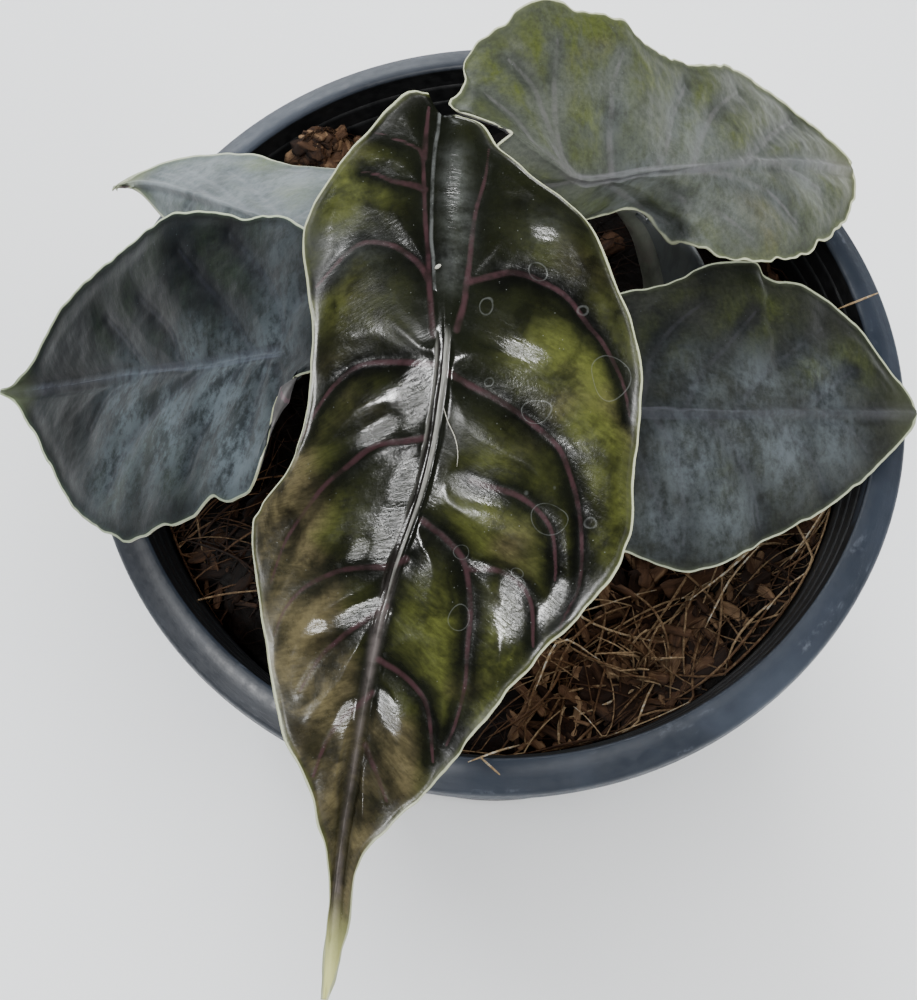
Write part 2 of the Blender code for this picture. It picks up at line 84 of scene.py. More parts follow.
eye = Vector((0, -math.cos(CAMERA_ELEVATION), math.sin(CAMERA_ELEVATION))) * CAMERA_DISTANCE
eye.z += RIM_HEIGHT
ahead = (Vector((AIM_X, AIM_Y, RIM_HEIGHT)) - eye).normalized()
level = ahead.cross(Vector((0, 0, 1))).normalized()
steep = level.cross(ahead)
sideways = level * math.cos(CAMERA_ROLL) + steep * math.sin(CAMERA_ROLL)
upwards = steep * math.cos(CAMERA_ROLL) - level * math.sin(CAMERA_ROLL)

camera = placed("camera", bpy.data.cameras.new("camera"))
camera.data.sensor_width = SENSOR
camera.data.lens = SENSOR * FOCAL_PIXELS / IMAGE_HEIGHT
camera.data.clip_start = NEAREST_SEEN
camera.matrix_world = Matrix([(sideways[i], upwards[i], -ahead[i], eye[i] * MM) for i in range(3)]
                             + [(0, 0, 0, 1)])
bpy.context.scene.camera = camera


def picture(points):
    """The picture coordinates of points in millimetres."""
    away = points - np.array(eye)
    depth = away @ np.array(ahead)
    across = FOCAL_PIXELS * (away @ np.array(sideways)) / depth
    down = -FOCAL_PIXELS * (away @ np.array(upwards)) / depth
    return np.stack([IMAGE_WIDTH / 2 + across, IMAGE_HEIGHT / 2 + down], axis=-1)


print("lens in millimetres:", round(camera.data.lens, 1))

# %% [markdown]
# ## Curves and noise
# Leaves are drawn by a few given points. A smooth curve passes through every one of
# them, which keeps the drawing easy to edit. Sums of sine waves in random directions give the
# soft unevenness that living tissue has, and the same seed always gives the same leaf.

# %% Curve and noise helpers
POINTS_PER_SPAN = 16
WAVES_PER_OCTAVE = 5


def smooth_curve(points, shares):
    """Points at shares of the length of a smooth curve through the given points."""
    points = np.array(points, float)
    ends = np.vstack([2 * points[0] - points[1], points, 2 * points[-1] - points[-2]])
    dense = []
    for before, start, end, after in zip(ends, ends[1:], ends[2:], ends[3:]):
        for t in np.linspace(0, 1, POINTS_PER_SPAN, endpoint=False):
            bend = 2 * before - 5 * start + 4 * end - after
            twist = -before + 3 * start - 3 * end + after
            dense.append(start + 0.5 * ((end - before) * t + bend * t**2 + twist * t**3))
    dense = np.array(dense + [points[-1]])
    lengths = np.concatenate([[0], np.cumsum(np.linalg.norm(np.diff(dense, axis=0), axis=1))])
    where = np.array(shares) * lengths[-1]
    columns = [np.interp(where, lengths, dense[:, axis]) for axis in range(dense.shape[1])]
    return np.stack(columns, axis=1)


def curve_length(points):
    """The length of the smooth curve through the points."""
    dense = smooth_curve(points, np.linspace(0, 1, 80))
    return float(np.linalg.norm(np.diff(dense, axis=0), axis=1).sum())


def unit(vectors):
    """The same directions with length 1."""
    return vectors / np.linalg.norm(vectors, axis=-1, keepdims=True)


def waves(points, size, seed, octaves=3):
    """Soft random relief between about -1 and 1, whose largest bumps are that size."""
    rng = np.random.default_rng(seed)
    total = np.zeros(points.shape[:-1])
    for octave in range(octaves):
        for _ in range(WAVES_PER_OCTAVE):
            direction = unit(rng.normal(size=3)) * 2 * math.pi / size * 2**octave
            total += np.sin(points @ direction + rng.uniform(0, 2 * math.pi)) * 0.4 / 2**octave
    return total


def ease(low, high, value):
    """0 below low, 1 above high, and a soft step between."""
    t = np.clip((value - low) / (high - low), 0, 1)
    return t * t * (3 - 2 * t)


def bell(value, width):
    """1 where the value is 0, a third at the width, and almost nothing at twice the width."""
    return np.exp(-(value / width) ** 2)


def distance_to(path, points, stretch=1.2):
    """For each point, its distance to the path and the share of the path's length passed there."""
    count = max(2, int(curve_length(path) / stretch))
    knots = smooth_curve(path, np.linspace(0, 1, count + 1))
    nearest = np.full(len(points), np.inf)
    passed = np.zeros(len(points))
    for index in range(count):
        step = knots[index + 1] - knots[index]
        t = np.clip((points - knots[index]) @ step / (step @ step), 0, 1)
        gap = np.linalg.norm(points - knots[index] - t[:, None] * step, axis=1)
        closer = gap < nearest
        nearest[closer] = gap[closer]
        passed[closer] = (index + t[closer]) / count
    return nearest, passed


# %% [markdown]
# ## The five leaves as drawn
# Each blade hangs between three curves: the midrib from the notch to the tip, and the margins on
# its left and right hand, looking from the stalk to the tip. The same points made the packed
# solid, so the fine leaf fills the same space. The sweeps pair a share of the midrib with a share
# of the margin, so that the rows of the mesh run along the side veins.

# %% The outlines
BLADES = {
    "front": dict(
        midrib=[(-9.5, 1.5, 217), (-9, -16, 215), (-8, -34, 212), (-10.5, -51, 204), (-17, -70, 190.5),
                (-22.5, -98, 171.5), (-25.5, -122, 156)],
        left=[(-7, 1.5, 217), (-3, 0, 217), (-0.5, -4, 217), (3.5, -7.5, 217), (12.5, -14.5, 215),
              (16.5, -22.5, 214), (21, -35, 210), (20.5, -52, 204), (20, -60, 200), (16, -67, 197),
              (4, -78.5, 189), (-9, -92.5, 177.5), (-18, -100.5, 172), (-20.5, -106, 168),
              (-21.5, -112.5, 163.5), (-23.5, -118.5, 158.5)],
        right=[(-11.5, 5, 218), (-15, 4.5, 218), (-23, -3.5, 215), (-29, -13, 212), (-29.5, -21, 210),
               (-28, -29, 207), (-29, -42, 201), (-31.5, -48, 197), (-36, -52.5, 191.5), (-37.5, -55, 189),
               (-36.5, -63, 186.5), (-32.5, -83.5, 180), (-28, -93, 175), (-25, -104, 168),
               (-25.5, -113.5, 161.5)],
        joint=0.25,
        left_sweep=[(0.08, 0.14), (0.25, 0.37), (0.5, 0.61), (0.75, 0.82)],
        right_sweep=[(0.08, 0.2), (0.25, 0.38), (0.5, 0.56), (0.75, 0.8)],
    ),
    "left": dict(
        midrib=[(-27, -31, 198), (-35.5, -25, 188), (-49, -21, 174), (-61, -16, 160), (-77.5, -10, 141),
                (-88, -6.5, 130), (-96, -4.5, 124)],
        left=[(-29, -32, 196), (-32.5, -31.5, 192), (-35.5, -34.5, 190), (-36.5, -42, 188),
              (-38.5, -47, 184), (-42, -47.5, 180), (-46, -45.5, 176), (-50, -47, 170), (-56, -46.5, 164),
              (-62, -46, 156), (-67, -43, 151), (-76, -34, 141), (-87, -15.5, 130), (-92.5, -7.5, 126)],
        right=[(-24.5, -27, 200), (-23, -22, 202), (-24, -16, 202), (-27, -10.5, 200), (-31, -6.5, 196),
               (-36.5, -1, 190), (-41.5, 1, 185), (-49, 5.5, 179), (-58, 7.5, 173), (-70, 6.5, 158),
               (-81, 4, 144), (-88, -2, 133), (-92.5, -4, 128)],
        joint=0.13,
        left_sweep=[(0.05, 0.12), (0.13, 0.26), (0.3, 0.42), (0.55, 0.64), (0.8, 0.85)],
        right_sweep=[(0.05, 0.16), (0.13, 0.29), (0.3, 0.44), (0.55, 0.66), (0.8, 0.86)],
    ),
    "back_left": dict(
        midrib=[(-23, -2, 178), (-30.5, 5.5, 170), (-38.5, 11, 164), (-45.5, 17, 158), (-61.5, 31, 141),
                (-70.5, 37.5, 132), (-77.5, 39.5, 126)],
        left=[(-20.5, -4, 172), (-24, -5.5, 165), (-30, -5, 158), (-38, -2.5, 152), (-46, 3.5, 146),
              (-54, 11.5, 140), (-61, 22.5, 135), (-66, 30.5, 132.5), (-71, 36.5, 130), (-75, 39.5, 128)],
        right=[(-19, 2, 175), (-18.5, 8.5, 170), (-21, 17.5, 163), (-25.5, 26.5, 155), (-30.5, 30.5, 150),
               (-41.5, 35, 144), (-47, 39, 140), (-57, 42.5, 134), (-64.5, 43, 131), (-70.5, 41.5, 129.5),
               (-76, 40, 127)],
        joint=0.15,
        left_sweep=[(0.15, 0.22), (0.5, 0.56), (0.75, 0.79)],
        right_sweep=[(0.15, 0.24), (0.5, 0.54), (0.75, 0.76)],
    ),
    "back_right": dict(
        midrib=[(1.5, 9, 200), (7.5, 8, 194), (13, 9, 186), (19, 12, 181.5), (25.5, 16, 177), (39, 24, 166),
                (54, 33.5, 151), (68.5, 42.5, 133)],
        left=[(0, 11, 199), (-5.5, 14.5, 196), (-9, 17.5, 194), (-6.5, 22.5, 193), (-7, 27.5, 192),
              (-1.5, 33.5, 193), (6, 38.5, 194), (14.5, 39.5, 189), (20, 40.5, 186), (25, 39.5, 179),
              (32.5, 42, 170), (39, 46, 164), (49, 49, 151), (60.5, 47, 140), (67, 44, 136)],
        right=[(-1.5, 6.5, 200), (-0.5, 6, 191), (5, 6.5, 180), (10.5, 9, 171), (14, 12.5, 166),
               (19.5, 15.5, 163.5), (25.5, 17, 161), (30.5, 13, 157.5), (34, 11, 160.5), (39.5, 9.5, 158),
               (45.5, 10.5, 155), (56, 16, 147), (67, 31, 136)],
        joint=0.18,
        ripple=0.5,
        left_sweep=[(0.08, 0.18), (0.18, 0.33), (0.3, 0.43), (0.55, 0.64), (0.8, 0.84)],
        right_sweep=[(0.18, 0.24), (0.4, 0.44), (0.55, 0.62), (0.8, 0.83)],
    ),
    "right": dict(
        midrib=[(9.5, -25.5, 169), (18, -22, 161), (32, -19, 154), (47.5, -15.5, 146), (63.5, -11, 136),
                (80, -6, 125)],
        left=[(9.5, -22, 168), (10, -14, 164), (11, -6.5, 160), (13, -1, 157), (17.5, 2.5, 154),
              (24, 6, 150.5), (31.5, 8.5, 149.5), (37, 12.5, 148), (40.5, 14, 147), (47, 16, 144),
              (49.5, 13.5, 142), (57, 13.5, 139), (62, 12.5, 135), (68, 8.5, 132), (74, 2.5, 128),
              (78.5, -3, 126)],
        right=[(8.5, -30, 166), (8.5, -35.5, 162), (10, -40.5, 158), (14, -43.5, 154), (18.5, -44.5, 151),
               (24, -43.5, 147), (31, -45, 144), (36.5, -44.5, 142), (42.5, -41.5, 140), (49, -36.5, 137),
               (56, -32, 134), (63, -26.5, 131), (70.5, -19, 128), (77.5, -11, 126)],
        joint=0.13,
        left_sweep=[(0.06, 0.12), (0.13, 0.22), (0.3, 0.37), (0.55, 0.57), (0.8, 0.81)],
        right_sweep=[(0.06, 0.14), (0.13, 0.26), (0.3, 0.41), (0.55, 0.62), (0.8, 0.84)],
    ),
}
TIP_HALF_WIDTH = 0.6
CROWDING = 1.25
RIPPLE = 0.2
RIPPLE_SIZE = 7.0
RIPPLE_LIMIT = 0.25


class Surface:
    """A blade's middle surface: a grid of points with what each point needs to know."""

    def __init__(self, leaf, rows, columns):
        self.leaf = leaf
        self.shares = np.linspace(0, 1, rows)
        midrib = smooth_curve(leaf["midrib"], self.shares)
        forward = unit(midrib[-1] - midrib[-2])
        margins = {}
        for side, sign in (("left", 1), ("right", -1)):
            across = sign * TIP_HALF_WIDTH * unit(np.array([-forward[1], forward[0], 0.0]))
            sweep = np.array([(0, 0), *leaf[side + "_sweep"], (1, 1)])
            where = np.interp(self.shares, sweep[:, 0], sweep[:, 1])
            margins[sign] = smooth_curve(leaf[side] + [tuple(midrib[-1] + across)], where)
        even = np.linspace(-1, 1, 2 * columns + 1)
        self.places = np.sign(even) * np.abs(even) ** CROWDING
        grid = np.empty((rows, len(self.places), 3))
        for column, place in enumerate(self.places):
            margin = margins[1 if place >= 0 else -1]
            grid[:, column] = midrib + (margin - midrib) * abs(place)
        outwards = unit(np.gradient(grid, axis=1)) * np.sign(self.places)[None, :, None]
        near_margin = ease(0.75, 1, np.abs(self.places))[None, :] * ease(0, 0.04, 1 - self.shares)[:, None]
        ripple = leaf.get("ripple", RIPPLE) * waves(grid, RIPPLE_SIZE, 17, 2) * near_margin
        grid = grid + outwards * np.minimum(ripple, RIPPLE_LIMIT)[..., None]
        self.grid = grid
        self.normals = unit(np.cross(np.gradient(grid, axis=0), np.gradient(grid, axis=1)))
        half_widths = np.where(self.places[None, :] >= 0,
                               np.linalg.norm(margins[1] - midrib, axis=1)[:, None],
                               np.linalg.norm(margins[-1] - midrib, axis=1)[:, None])
        self.edge = half_widths * (1 - np.abs(self.places)[None, :])
        self.points = grid.reshape(-1, 3)
        self.seen_at = picture(self.points)

    def at_picture(self, x, y):
        """The blade's point seen at a place in the picture."""
        return self.points[np.argmin(np.hypot(self.seen_at[:, 0] - x, self.seen_at[:, 1] - y))]

    def at_place(self, share, place):
        """The blade's point at a share of the midrib and a place from -1 to 1 across it."""
        row = int(round(share * (len(self.shares) - 1)))
        column = int(np.argmin(np.abs(self.places - place)))
        return self.grid[row, column]


for name, leaf in BLADES.items():
    print(name, "blade, midrib in millimetres:", round(curve_length(leaf["midrib"])))

# %% [markdown]
# ## Side veins
# On the real leaf the side veins are pink cords that lie in valleys, and the tissue between them
# swells up. They are traced in the picture, from the midrib outwards, and then carried onto the
# blade. Where another leaf hides the blade, veins are given in the blade's own terms instead: a
# share of the midrib and a place across, from -1 at the right margin to 1 at the left one.

# %% The veins of each leaf
SEEN_VEINS = {
    "front": [
        [(434, 335), (431, 290), (428, 252), (426, 218), (424, 183), (423, 157), (417, 150), (400, 140),
         (376, 134)],
        [(424, 160), (427, 132), (428, 108)],
        [(456, 330), (464, 304), (466, 283), (469, 261), (473, 235), (476, 209), (481, 192), (486, 172),
         (489, 150)],
        [(430, 280), (417, 261), (393, 247), (366, 244), (347, 254), (333, 268), (318, 287)],
        [(425, 190), (414, 185), (393, 183), (376, 176), (362, 172)],
        [(466, 284), (490, 277), (515, 274), (543, 282), (568, 299), (588, 324), (605, 349), (624, 383),
         (630, 417)],
        [(438, 364), (400, 363), (364, 366), (338, 382), (318, 410), (302, 440)],
        [(432, 436), (405, 440), (377, 445), (352, 464), (321, 490), (290, 536), (271, 583)],
        [(406, 558), (391, 566), (366, 567), (340, 571), (306, 586), (286, 609), (276, 636)],
        [(386, 606), (362, 622), (343, 636), (320, 658), (300, 692)],
        [(372, 692), (355, 708), (340, 722), (323, 747), (313, 775)],
        [(447, 372), (470, 386), (509, 406), (537, 428), (557, 448), (568, 473), (578, 506), (583, 546),
         (578, 586), (568, 613), (560, 628)],
        [(470, 480), (489, 487), (522, 497), (548, 526), (555, 563), (556, 580)],
        [(422, 520), (446, 540), (462, 558), (469, 580), (470, 613), (469, 646), (465, 686), (456, 725),
         (446, 745)],
        [(468, 568), (495, 571), (519, 583), (532, 603), (535, 646)],
        [(378, 660), (400, 672), (419, 692), (429, 712), (434, 762)],
        [(366, 745), (373, 765), (388, 800)],
    ],
    "left": [
        [(262, 357), (250, 345), (230, 313), (203, 280), (180, 250)],
        [(190, 366), (180, 358), (173, 333), (143, 300)],
        [(158, 372), (147, 366), (133, 347), (110, 320)],
        [(140, 377), (130, 383), (110, 397), (93, 430)],
        [(212, 366), (190, 383), (157, 413), (127, 453), (110, 487)],
        [(250, 357), (225, 395), (205, 430), (190, 470)],
        [(275, 352), (285, 330), (277, 295), (255, 262), (230, 236)],
        [(270, 358), (258, 400), (248, 440), (235, 478)],
    ],
    "back_left": [
        [(285, 226), (268, 205), (250, 188), (228, 172)],
        [(249, 214), (230, 197), (208, 182), (186, 170)],
        [(215, 200), (197, 188), (178, 178), (160, 174)],
        [(180, 190), (163, 184), (148, 178)],
    ],
    "back_right": [
        [(577, 180), (566, 165), (558, 143), (555, 110), (553, 77), (556, 40)],
        [(575, 180), (560, 160), (547, 127), (533, 87), (508, 60)],
        [(612, 172), (608, 145), (610, 117), (612, 87), (622, 52)],
        [(573, 178), (540, 150), (515, 120), (485, 95)],
        [(655, 170), (665, 145), (672, 115), (684, 85)],
        [(693, 166), (700, 140), (715, 110), (735, 92)],
        [(745, 162), (768, 138), (790, 122)],
        [(600, 178), (640, 205), (683, 235)],
        [(630, 176), (680, 198), (720, 215), (752, 240)],
        [(690, 168), (735, 178), (770, 195), (795, 222)],
        [(760, 161), (790, 170), (818, 190)],
    ],
    "right": [
        [(640, 410), (652, 360), (670, 330), (703, 303)],
        [(685, 412), (700, 375), (727, 347), (755, 312)],
        [(735, 412), (760, 378), (790, 352), (820, 330)],
        [(800, 413), (825, 392), (850, 372)],
        [(650, 412), (672, 450), (682, 500), (683, 545)],
        [(700, 413), (733, 450), (752, 490), (758, 528)],
        [(760, 413), (795, 440), (815, 470), (826, 495)],
        [(820, 414), (848, 430), (866, 452)],
    ],
}
# The crest is a low ridge at the front leaf's base; its pale silver colour is a painted highlight.
CRESTS = {"front": [(441, 114), (438, 132), (436, 149), (433, 183), (432, 214), (432, 240), (434, 262),
                    (436, 290)]}
HIDDEN_VEINS = {
    "left": [[(0.12, -0.1), (0.08, -0.4), (0.03, -0.75)], [(0.12, 0.1), (0.06, 0.5), (0.03, 0.8)]],
    "back_left": [
        [(0.15, -0.06), (0.1, -0.4), (0.06, -0.8)],
        [(0.16, 0.06), (0.12, 0.45), (0.07, 0.85)],
        [(0.3, 0.05), (0.32, 0.5), (0.36, 0.85)],
        [(0.48, 0.05), (0.5, 0.5), (0.55, 0.85)],
        [(0.66, 0.05), (0.68, 0.5), (0.72, 0.85)],
        [(0.28, -0.05), (0.27, -0.5), (0.3, -0.85)],
    ],
    "back_right": [[(0.17, -0.06), (0.12, -0.4), (0.07, -0.8)]],
    "right": [
        [(0.13, 0.06), (0.1, 0.45), (0.06, 0.85)],
        [(0.13, -0.06), (0.1, -0.45), (0.06, -0.85)],
        [(0.2, -0.06), (0.24, -0.5), (0.28, -0.88)],
        [(0.2, 0.06), (0.22, 0.5), (0.26, 0.88)],
    ],
}


def vein_paths(surface, name):
    """The side veins of a leaf as paths in millimetres on its middle surface."""
    paths = [[tuple(surface.at_picture(x, y)) for x, y in trace] for trace in SEEN_VEINS[name]]
    paths += [[tuple(surface.at_place(*spot)) for spot in trace] for trace in HIDDEN_VEINS.get(name, [])]
    return paths


print("traced side veins:", {name: len(traces) for name, traces in SEEN_VEINS.items()})

# %% [markdown]
# ## Relief
# A quilted leaf is a height field on its middle surface: panels rise away from the veins, the
# midrib lies in a channel, and small puckers run everywhere. The heights move the points of a
# fine mesh along its normals, so that the form is real geometry and catches the light by itself.

# %% Relief of a blade
VEIN_HALF_WIDTH = 0.3
VEIN_CORE = 0.12
NO_CREST = 99.0
# The midrib's cross-section: millimetres to the left of the midrib, and height as a share of the depth.
CHANNEL = [(-2.4, 0), (-1.5, 0.06), (-1.3, -0.05), (-1.1, -0.85), (-0.45, -0.95), (-0.2, -0.6), (0.0, -0.12),
           (0.25, -0.16), (0.95, -0.46), (1.15, -0.3), (1.5, 0), (2.4, 0)]
# Height or depth, and width, of the small forms along a vein, the midrib and the margin.
CORD = (0.12, 0.42)
VALLEY = (0.2, 1.2)
KEEL = (0.28, 0.6)
KEEL_SIDES = (0.3, 0.7)
CREST = (0.3, 0.4)
LIP = (0.25, 0.5)
PANEL_RADIUS = 4.2
MARGIN_FADE = 5.0


def relief_fields(surface, name):
    """Distances on the blade, in millimetres, from which relief and colour are made.

    A vein narrows along its way, so vein_width counts how many half widths a point lies beside it."""
    points = surface.points
    shape = surface.grid.shape[:2]
    vein = np.full(len(points), np.inf)
    vein_width = np.full(len(points), np.inf)
    for path in vein_paths(surface, name):
        gap, passed = distance_to(path, points)
        vein = np.minimum(vein, gap)
        half_width = VEIN_HALF_WIDTH * (1.2 - 0.85 * passed)
        vein_width = np.minimum(vein_width, np.maximum(gap - VEIN_CORE, 0) / half_width)
    vein = vein.reshape(shape)
    half = surface.edge / (1 - np.abs(surface.places)[None, :] + 1e-6)
    across = surface.places[None, :] * half
    rib = np.abs(across)
    crest = np.full(len(points), NO_CREST)
    if name in CRESTS:
        crest = distance_to([tuple(surface.at_picture(x, y)) for x, y in CRESTS[name]], points)[0]
    return dict(vein=vein, vein_width=vein_width.reshape(shape), rib=rib, across=across,
                crest=crest.reshape(shape), nearest=np.minimum(vein, rib), edge=surface.edge)


def channel_height(across, depth):
    """The midrib's cross-section: a groove on the right-hand side of a cord that slopes away."""
    where, rise = zip(*CHANNEL)
    return depth * np.interp(across, where, rise)


def mound(away, form):
    """A rounded rise of a height and a width, at this distance from its middle."""
    height, width = form
    return height * bell(away, width)


def quilt(surface, fields, height, channel_depth, pucker):
    """Heights in millimetres: panels, veins, the midrib's channel and puckers."""
    share = surface.shares[:, None]
    joint = surface.leaf["joint"]
    fade = ease(0, MARGIN_FADE, fields["edge"])
    panels = height * (1 - bell(fields["nearest"], PANEL_RADIUS)) * fade
    veins = mound(fields["vein"], CORD) - mound(fields["vein"], VALLEY)
    channel = channel_height(fields["across"] * (1 + 0.6 * ease(0.35, 0.75, share)), channel_depth)
    keel = mound(fields["rib"], KEEL) - mound(fields["rib"] - 1.5, KEEL_SIDES)
    towards_tip = ease(0.48, 0.62, share)
    midrib = ease(joint - 0.03, joint + 0.02, share) * ((1 - towards_tip) * channel + towards_tip * keel)
    coarse, fine = waves(surface.points, 9.0, 3), waves(surface.points, 2.6, 5)
    puckers = pucker * (coarse + 0.3 * fine).reshape(fade.shape) * (0.4 + fields["flash"])
    return (panels + veins * ease(0.3, 2.0, fields["edge"]) + midrib * ease(0, 0.02, 1 - share)
            + puckers * fade + mound(fields["crest"], CREST) + mound(fields["edge"] - 0.35, LIP))


# %% [markdown]
# ## Flats that catch the light
# The front leaf flashes white where its skin lies flat towards a bright place. A mirror sends
# light from there to the eye when its normal lies half way between the two directions. The
# traced flashes are turned that way, and the skin round them follows like a stretched cloth.
# Elsewhere the skin leans a little away from that direction, so that it stays dark.

# %% Flats on the front leaf
# Where the bright place is, in millimetres.
WINDOW = np.array([-460.0, -500.0, 1275.0])
FLASHES = {
    "front": [(416, 394, 32, 15, 104, 1), (380, 432, 28, 8, 146, 0.95), (404, 482, 28, 12, 106, 1),
              (390, 532, 32, 14, 112, 1), (362, 550, 16, 7, 140, 0.9), (362, 612, 28, 8, 150, 1),
              (318, 627, 11, 7, 150, 0.95), (391, 712, 24, 8, 63, 1), (345, 716, 18, 7, 110, 0.9),
              (513, 610, 36, 13, 85, 1), (555, 604, 24, 9, 120, 1), (525, 352, 28, 7, 12, 1),
              (475, 488, 32, 9, 22, 0.9), (454, 190, 50, 8, 92, 0.5), (418, 328, 20, 5, 50, 0.3),
              (545, 236, 13, 6, 0, 0.8), (482, 568, 15, 5, 30, 0.9)],
}
SETTLE_REACH = 9.0
SHUNNED = math.radians(13)
HELD_PULL = 5
QUIET_PULL = 60
ROUNDS = 400
QUIET_MARGIN = 1.5
QUIET_JOINT = 3.0


def flashes(surface, name):
    """How firmly each point of the blade is held towards the window, from 0 to 1.

    A flash is a picture place, a long and a short half width in pixels, a turn in degrees and a strength."""
    value = np.zeros(len(surface.points))
    for x, y, long, short, turn, strength in FLASHES.get(name, []):
        away = surface.seen_at - (x, y)
        axis = np.array([math.cos(math.radians(turn)), math.sin(math.radians(turn))])
        along = away @ axis / long
        aside = away @ np.array([-axis[1], axis[0]]) / short
        value = np.maximum(value, strength * np.exp(-(along ** 2 + aside ** 2) ** 1.5))
    return value.reshape(surface.grid.shape[:2])


def between(values, axis):
    """The mean of each two neighbours along an axis."""
    first = values[:-1] if axis == 0 else values[:, :-1]
    last = values[1:] if axis == 0 else values[:, 1:]
    return (first + last) / 2


def gathered(steps):
    """For each point, what the steps towards it bring less what the steps from it take."""
    down, right = steps
    total = np.zeros((right.shape[0], down.shape[1]))
    total[1:] += down
    total[:-1] -= down
    total[:, 1:] += right
    total[:, :-1] -= right
    return total


def off_mirror(surface, heights, mirror):
    """The angle between the raised skin's normal and the mirror's, in radians."""
    skin = surface.grid + surface.normals * heights[..., None]
    facing = unit(np.cross(np.gradient(skin, axis=0), np.gradient(skin, axis=1)))
    return np.arccos(np.clip(np.abs((facing * mirror).sum(axis=-1)), 0, 1))


def settle(surface, heights, held, quiet):
    """Turns the held places towards the window, leans the rest away from it, and keeps the skin whole.

    Each step from a point to its neighbour has a wanted rise. The heights that come nearest to all
    of them are found by conjugate gradients. Where quiet is high, the old heights are kept."""
    grid = surface.grid
    mirror = unit(unit(WINDOW - grid) + unit(np.array(eye) - grid))
    slope = surface.normals - mirror / (mirror * surface.normals).sum(axis=-1, keepdims=True)
    spacing = [np.linalg.norm(np.gradient(grid, axis=axis), axis=-1) + 0.01 for axis in (0, 1)]
    off = off_mirror(surface, heights, mirror)
    push = np.maximum(0, math.tan(SHUNNED) - np.tan(off)) * (1 - quiet) / np.linalg.norm(slope, axis=-1)
    pulls, wanted = [], []
    for axis in (0, 1):
        firm = between(held, axis)
        rise = (between(slope, axis) * np.diff(grid, axis=axis)).sum(axis=-1)
        old = np.diff(heights, axis=axis)
        wanted.append((1 - firm) * (old - between(push, axis) * rise) + firm * rise)
        pulls.append(between(spacing[1 - axis] / spacing[axis], axis) * (1 + HELD_PULL * firm))
    anchor = spacing[0] * spacing[1] / SETTLE_REACH ** 2 * (1 + QUIET_PULL * quiet)

    def weigh(values):
        return gathered([pulls[axis] * np.diff(values, axis=axis) for axis in (0, 1)]) + anchor * values

    scale = anchor.copy()
    scale[1:] += pulls[0]
    scale[:-1] += pulls[0]
    scale[:, 1:] += pulls[1]
    scale[:, :-1] += pulls[1]
    found = heights.copy()
    rest = gathered([pulls[axis] * wanted[axis] for axis in (0, 1)]) + anchor * heights - weigh(found)
    way = rest / scale
    size = (rest * way).sum()
    for _ in range(ROUNDS):
        felt = weigh(way)
        share = size / (way * felt).sum()
        found += share * way
        rest -= share * felt
        before = size
        size = (rest * rest / scale).sum()
        way = rest / scale + size / before * way
    return found


def settled(surface, heights, held):
    """Heights settled three times over, with the margin and the joint kept as they were."""
    away = np.linalg.norm(surface.grid - surface.at_place(surface.leaf["joint"], 0), axis=-1)
    quiet = np.maximum(bell(surface.edge, QUIET_MARGIN), bell(away, QUIET_JOINT))
    found = heights
    for _ in range(3):
        found = settle(surface, found, held, quiet)
    print("settled by at most", round(float(np.abs(found - heights).max()), 2), "mm")
    return found


# %% [markdown]
# ## From heights to a leaf
# A leaf has an upper skin, an under skin and a thin rim. The mesh is one closed shell with those
# three as separate material slots. What the shader needs to know, such as how far a point is
# from a vein, is kept on the points.

# %% Build a blade
BLADE_THICKNESS = 0.7
THINNEST = 0.3


def quads(index):
    """The faces of a grid of point numbers."""
    return np.stack([index[:-1, :-1], index[1:, :-1], index[1:, 1:], index[:-1, 1:]], axis=-1).reshape(-1, 4)


def around(index):
    """The point numbers on the border of a grid, in order."""
    return np.concatenate([index[0, :-1], index[:-1, -1], index[-1, :0:-1], index[:0:-1, 0]])


def hold(mesh, label, values):
    """Keeps a number on each point of a mesh, for the shader to read."""
    held = mesh.attributes.new(label, "FLOAT", "POINT")
    held.data.foreach_set("value", np.array(values, np.float32))


def shell(name, top, bottom, fields, looks):
    """A closed mesh between two grids of points, with one material each for top, underside and rim.

    The underside keeps every second row and column, so each face of the rim has five corners."""
    rows, columns = top.shape[:2]
    upper_index = np.arange(rows * columns).reshape(rows, columns)
    below = bottom[::2, ::2]
    lower_index = np.arange(below.shape[0] * below.shape[1]).reshape(below.shape[:2]) + rows * columns
    upper = quads(upper_index)
    lower = quads(lower_index)[:, ::-1]
    fine, coarse = around(upper_index), around(lower_index)
    rim = np.stack([fine[0::2], fine[1::2], np.roll(fine, -2)[0::2], np.roll(coarse, -1), coarse], axis=-1)
    corners = np.concatenate([upper.ravel(), lower.ravel(), rim.ravel()])
    sizes = np.repeat([4, 4, 5], [len(upper), len(lower), len(rim)])
    mesh = bpy.data.meshes.new(name)
    points = np.concatenate([top.reshape(-1, 3), below.reshape(-1, 3)]) * MM
    mesh.vertices.add(len(points))
    mesh.vertices.foreach_set("co", points.astype(np.float32).ravel())
    mesh.loops.add(len(corners))
    mesh.loops.foreach_set("vertex_index", corners.astype(np.int32))
    mesh.polygons.add(len(sizes))
    mesh.polygons.foreach_set("loop_start", (np.cumsum(sizes) - sizes).astype(np.int32))
    slots = np.repeat([0, 1, 2], [len(upper), len(lower), len(rim)]).astype(np.int32)
    mesh.polygons.foreach_set("material_index", slots)
    mesh.update(calc_edges=True)
    for label, values in fields.items():
        hold(mesh, label, np.concatenate([values.ravel(), values[::2, ::2].ravel()]))
    for look in looks:
        mesh.materials.append(look)
    mesh.shade_smooth()
    return placed(name, mesh)


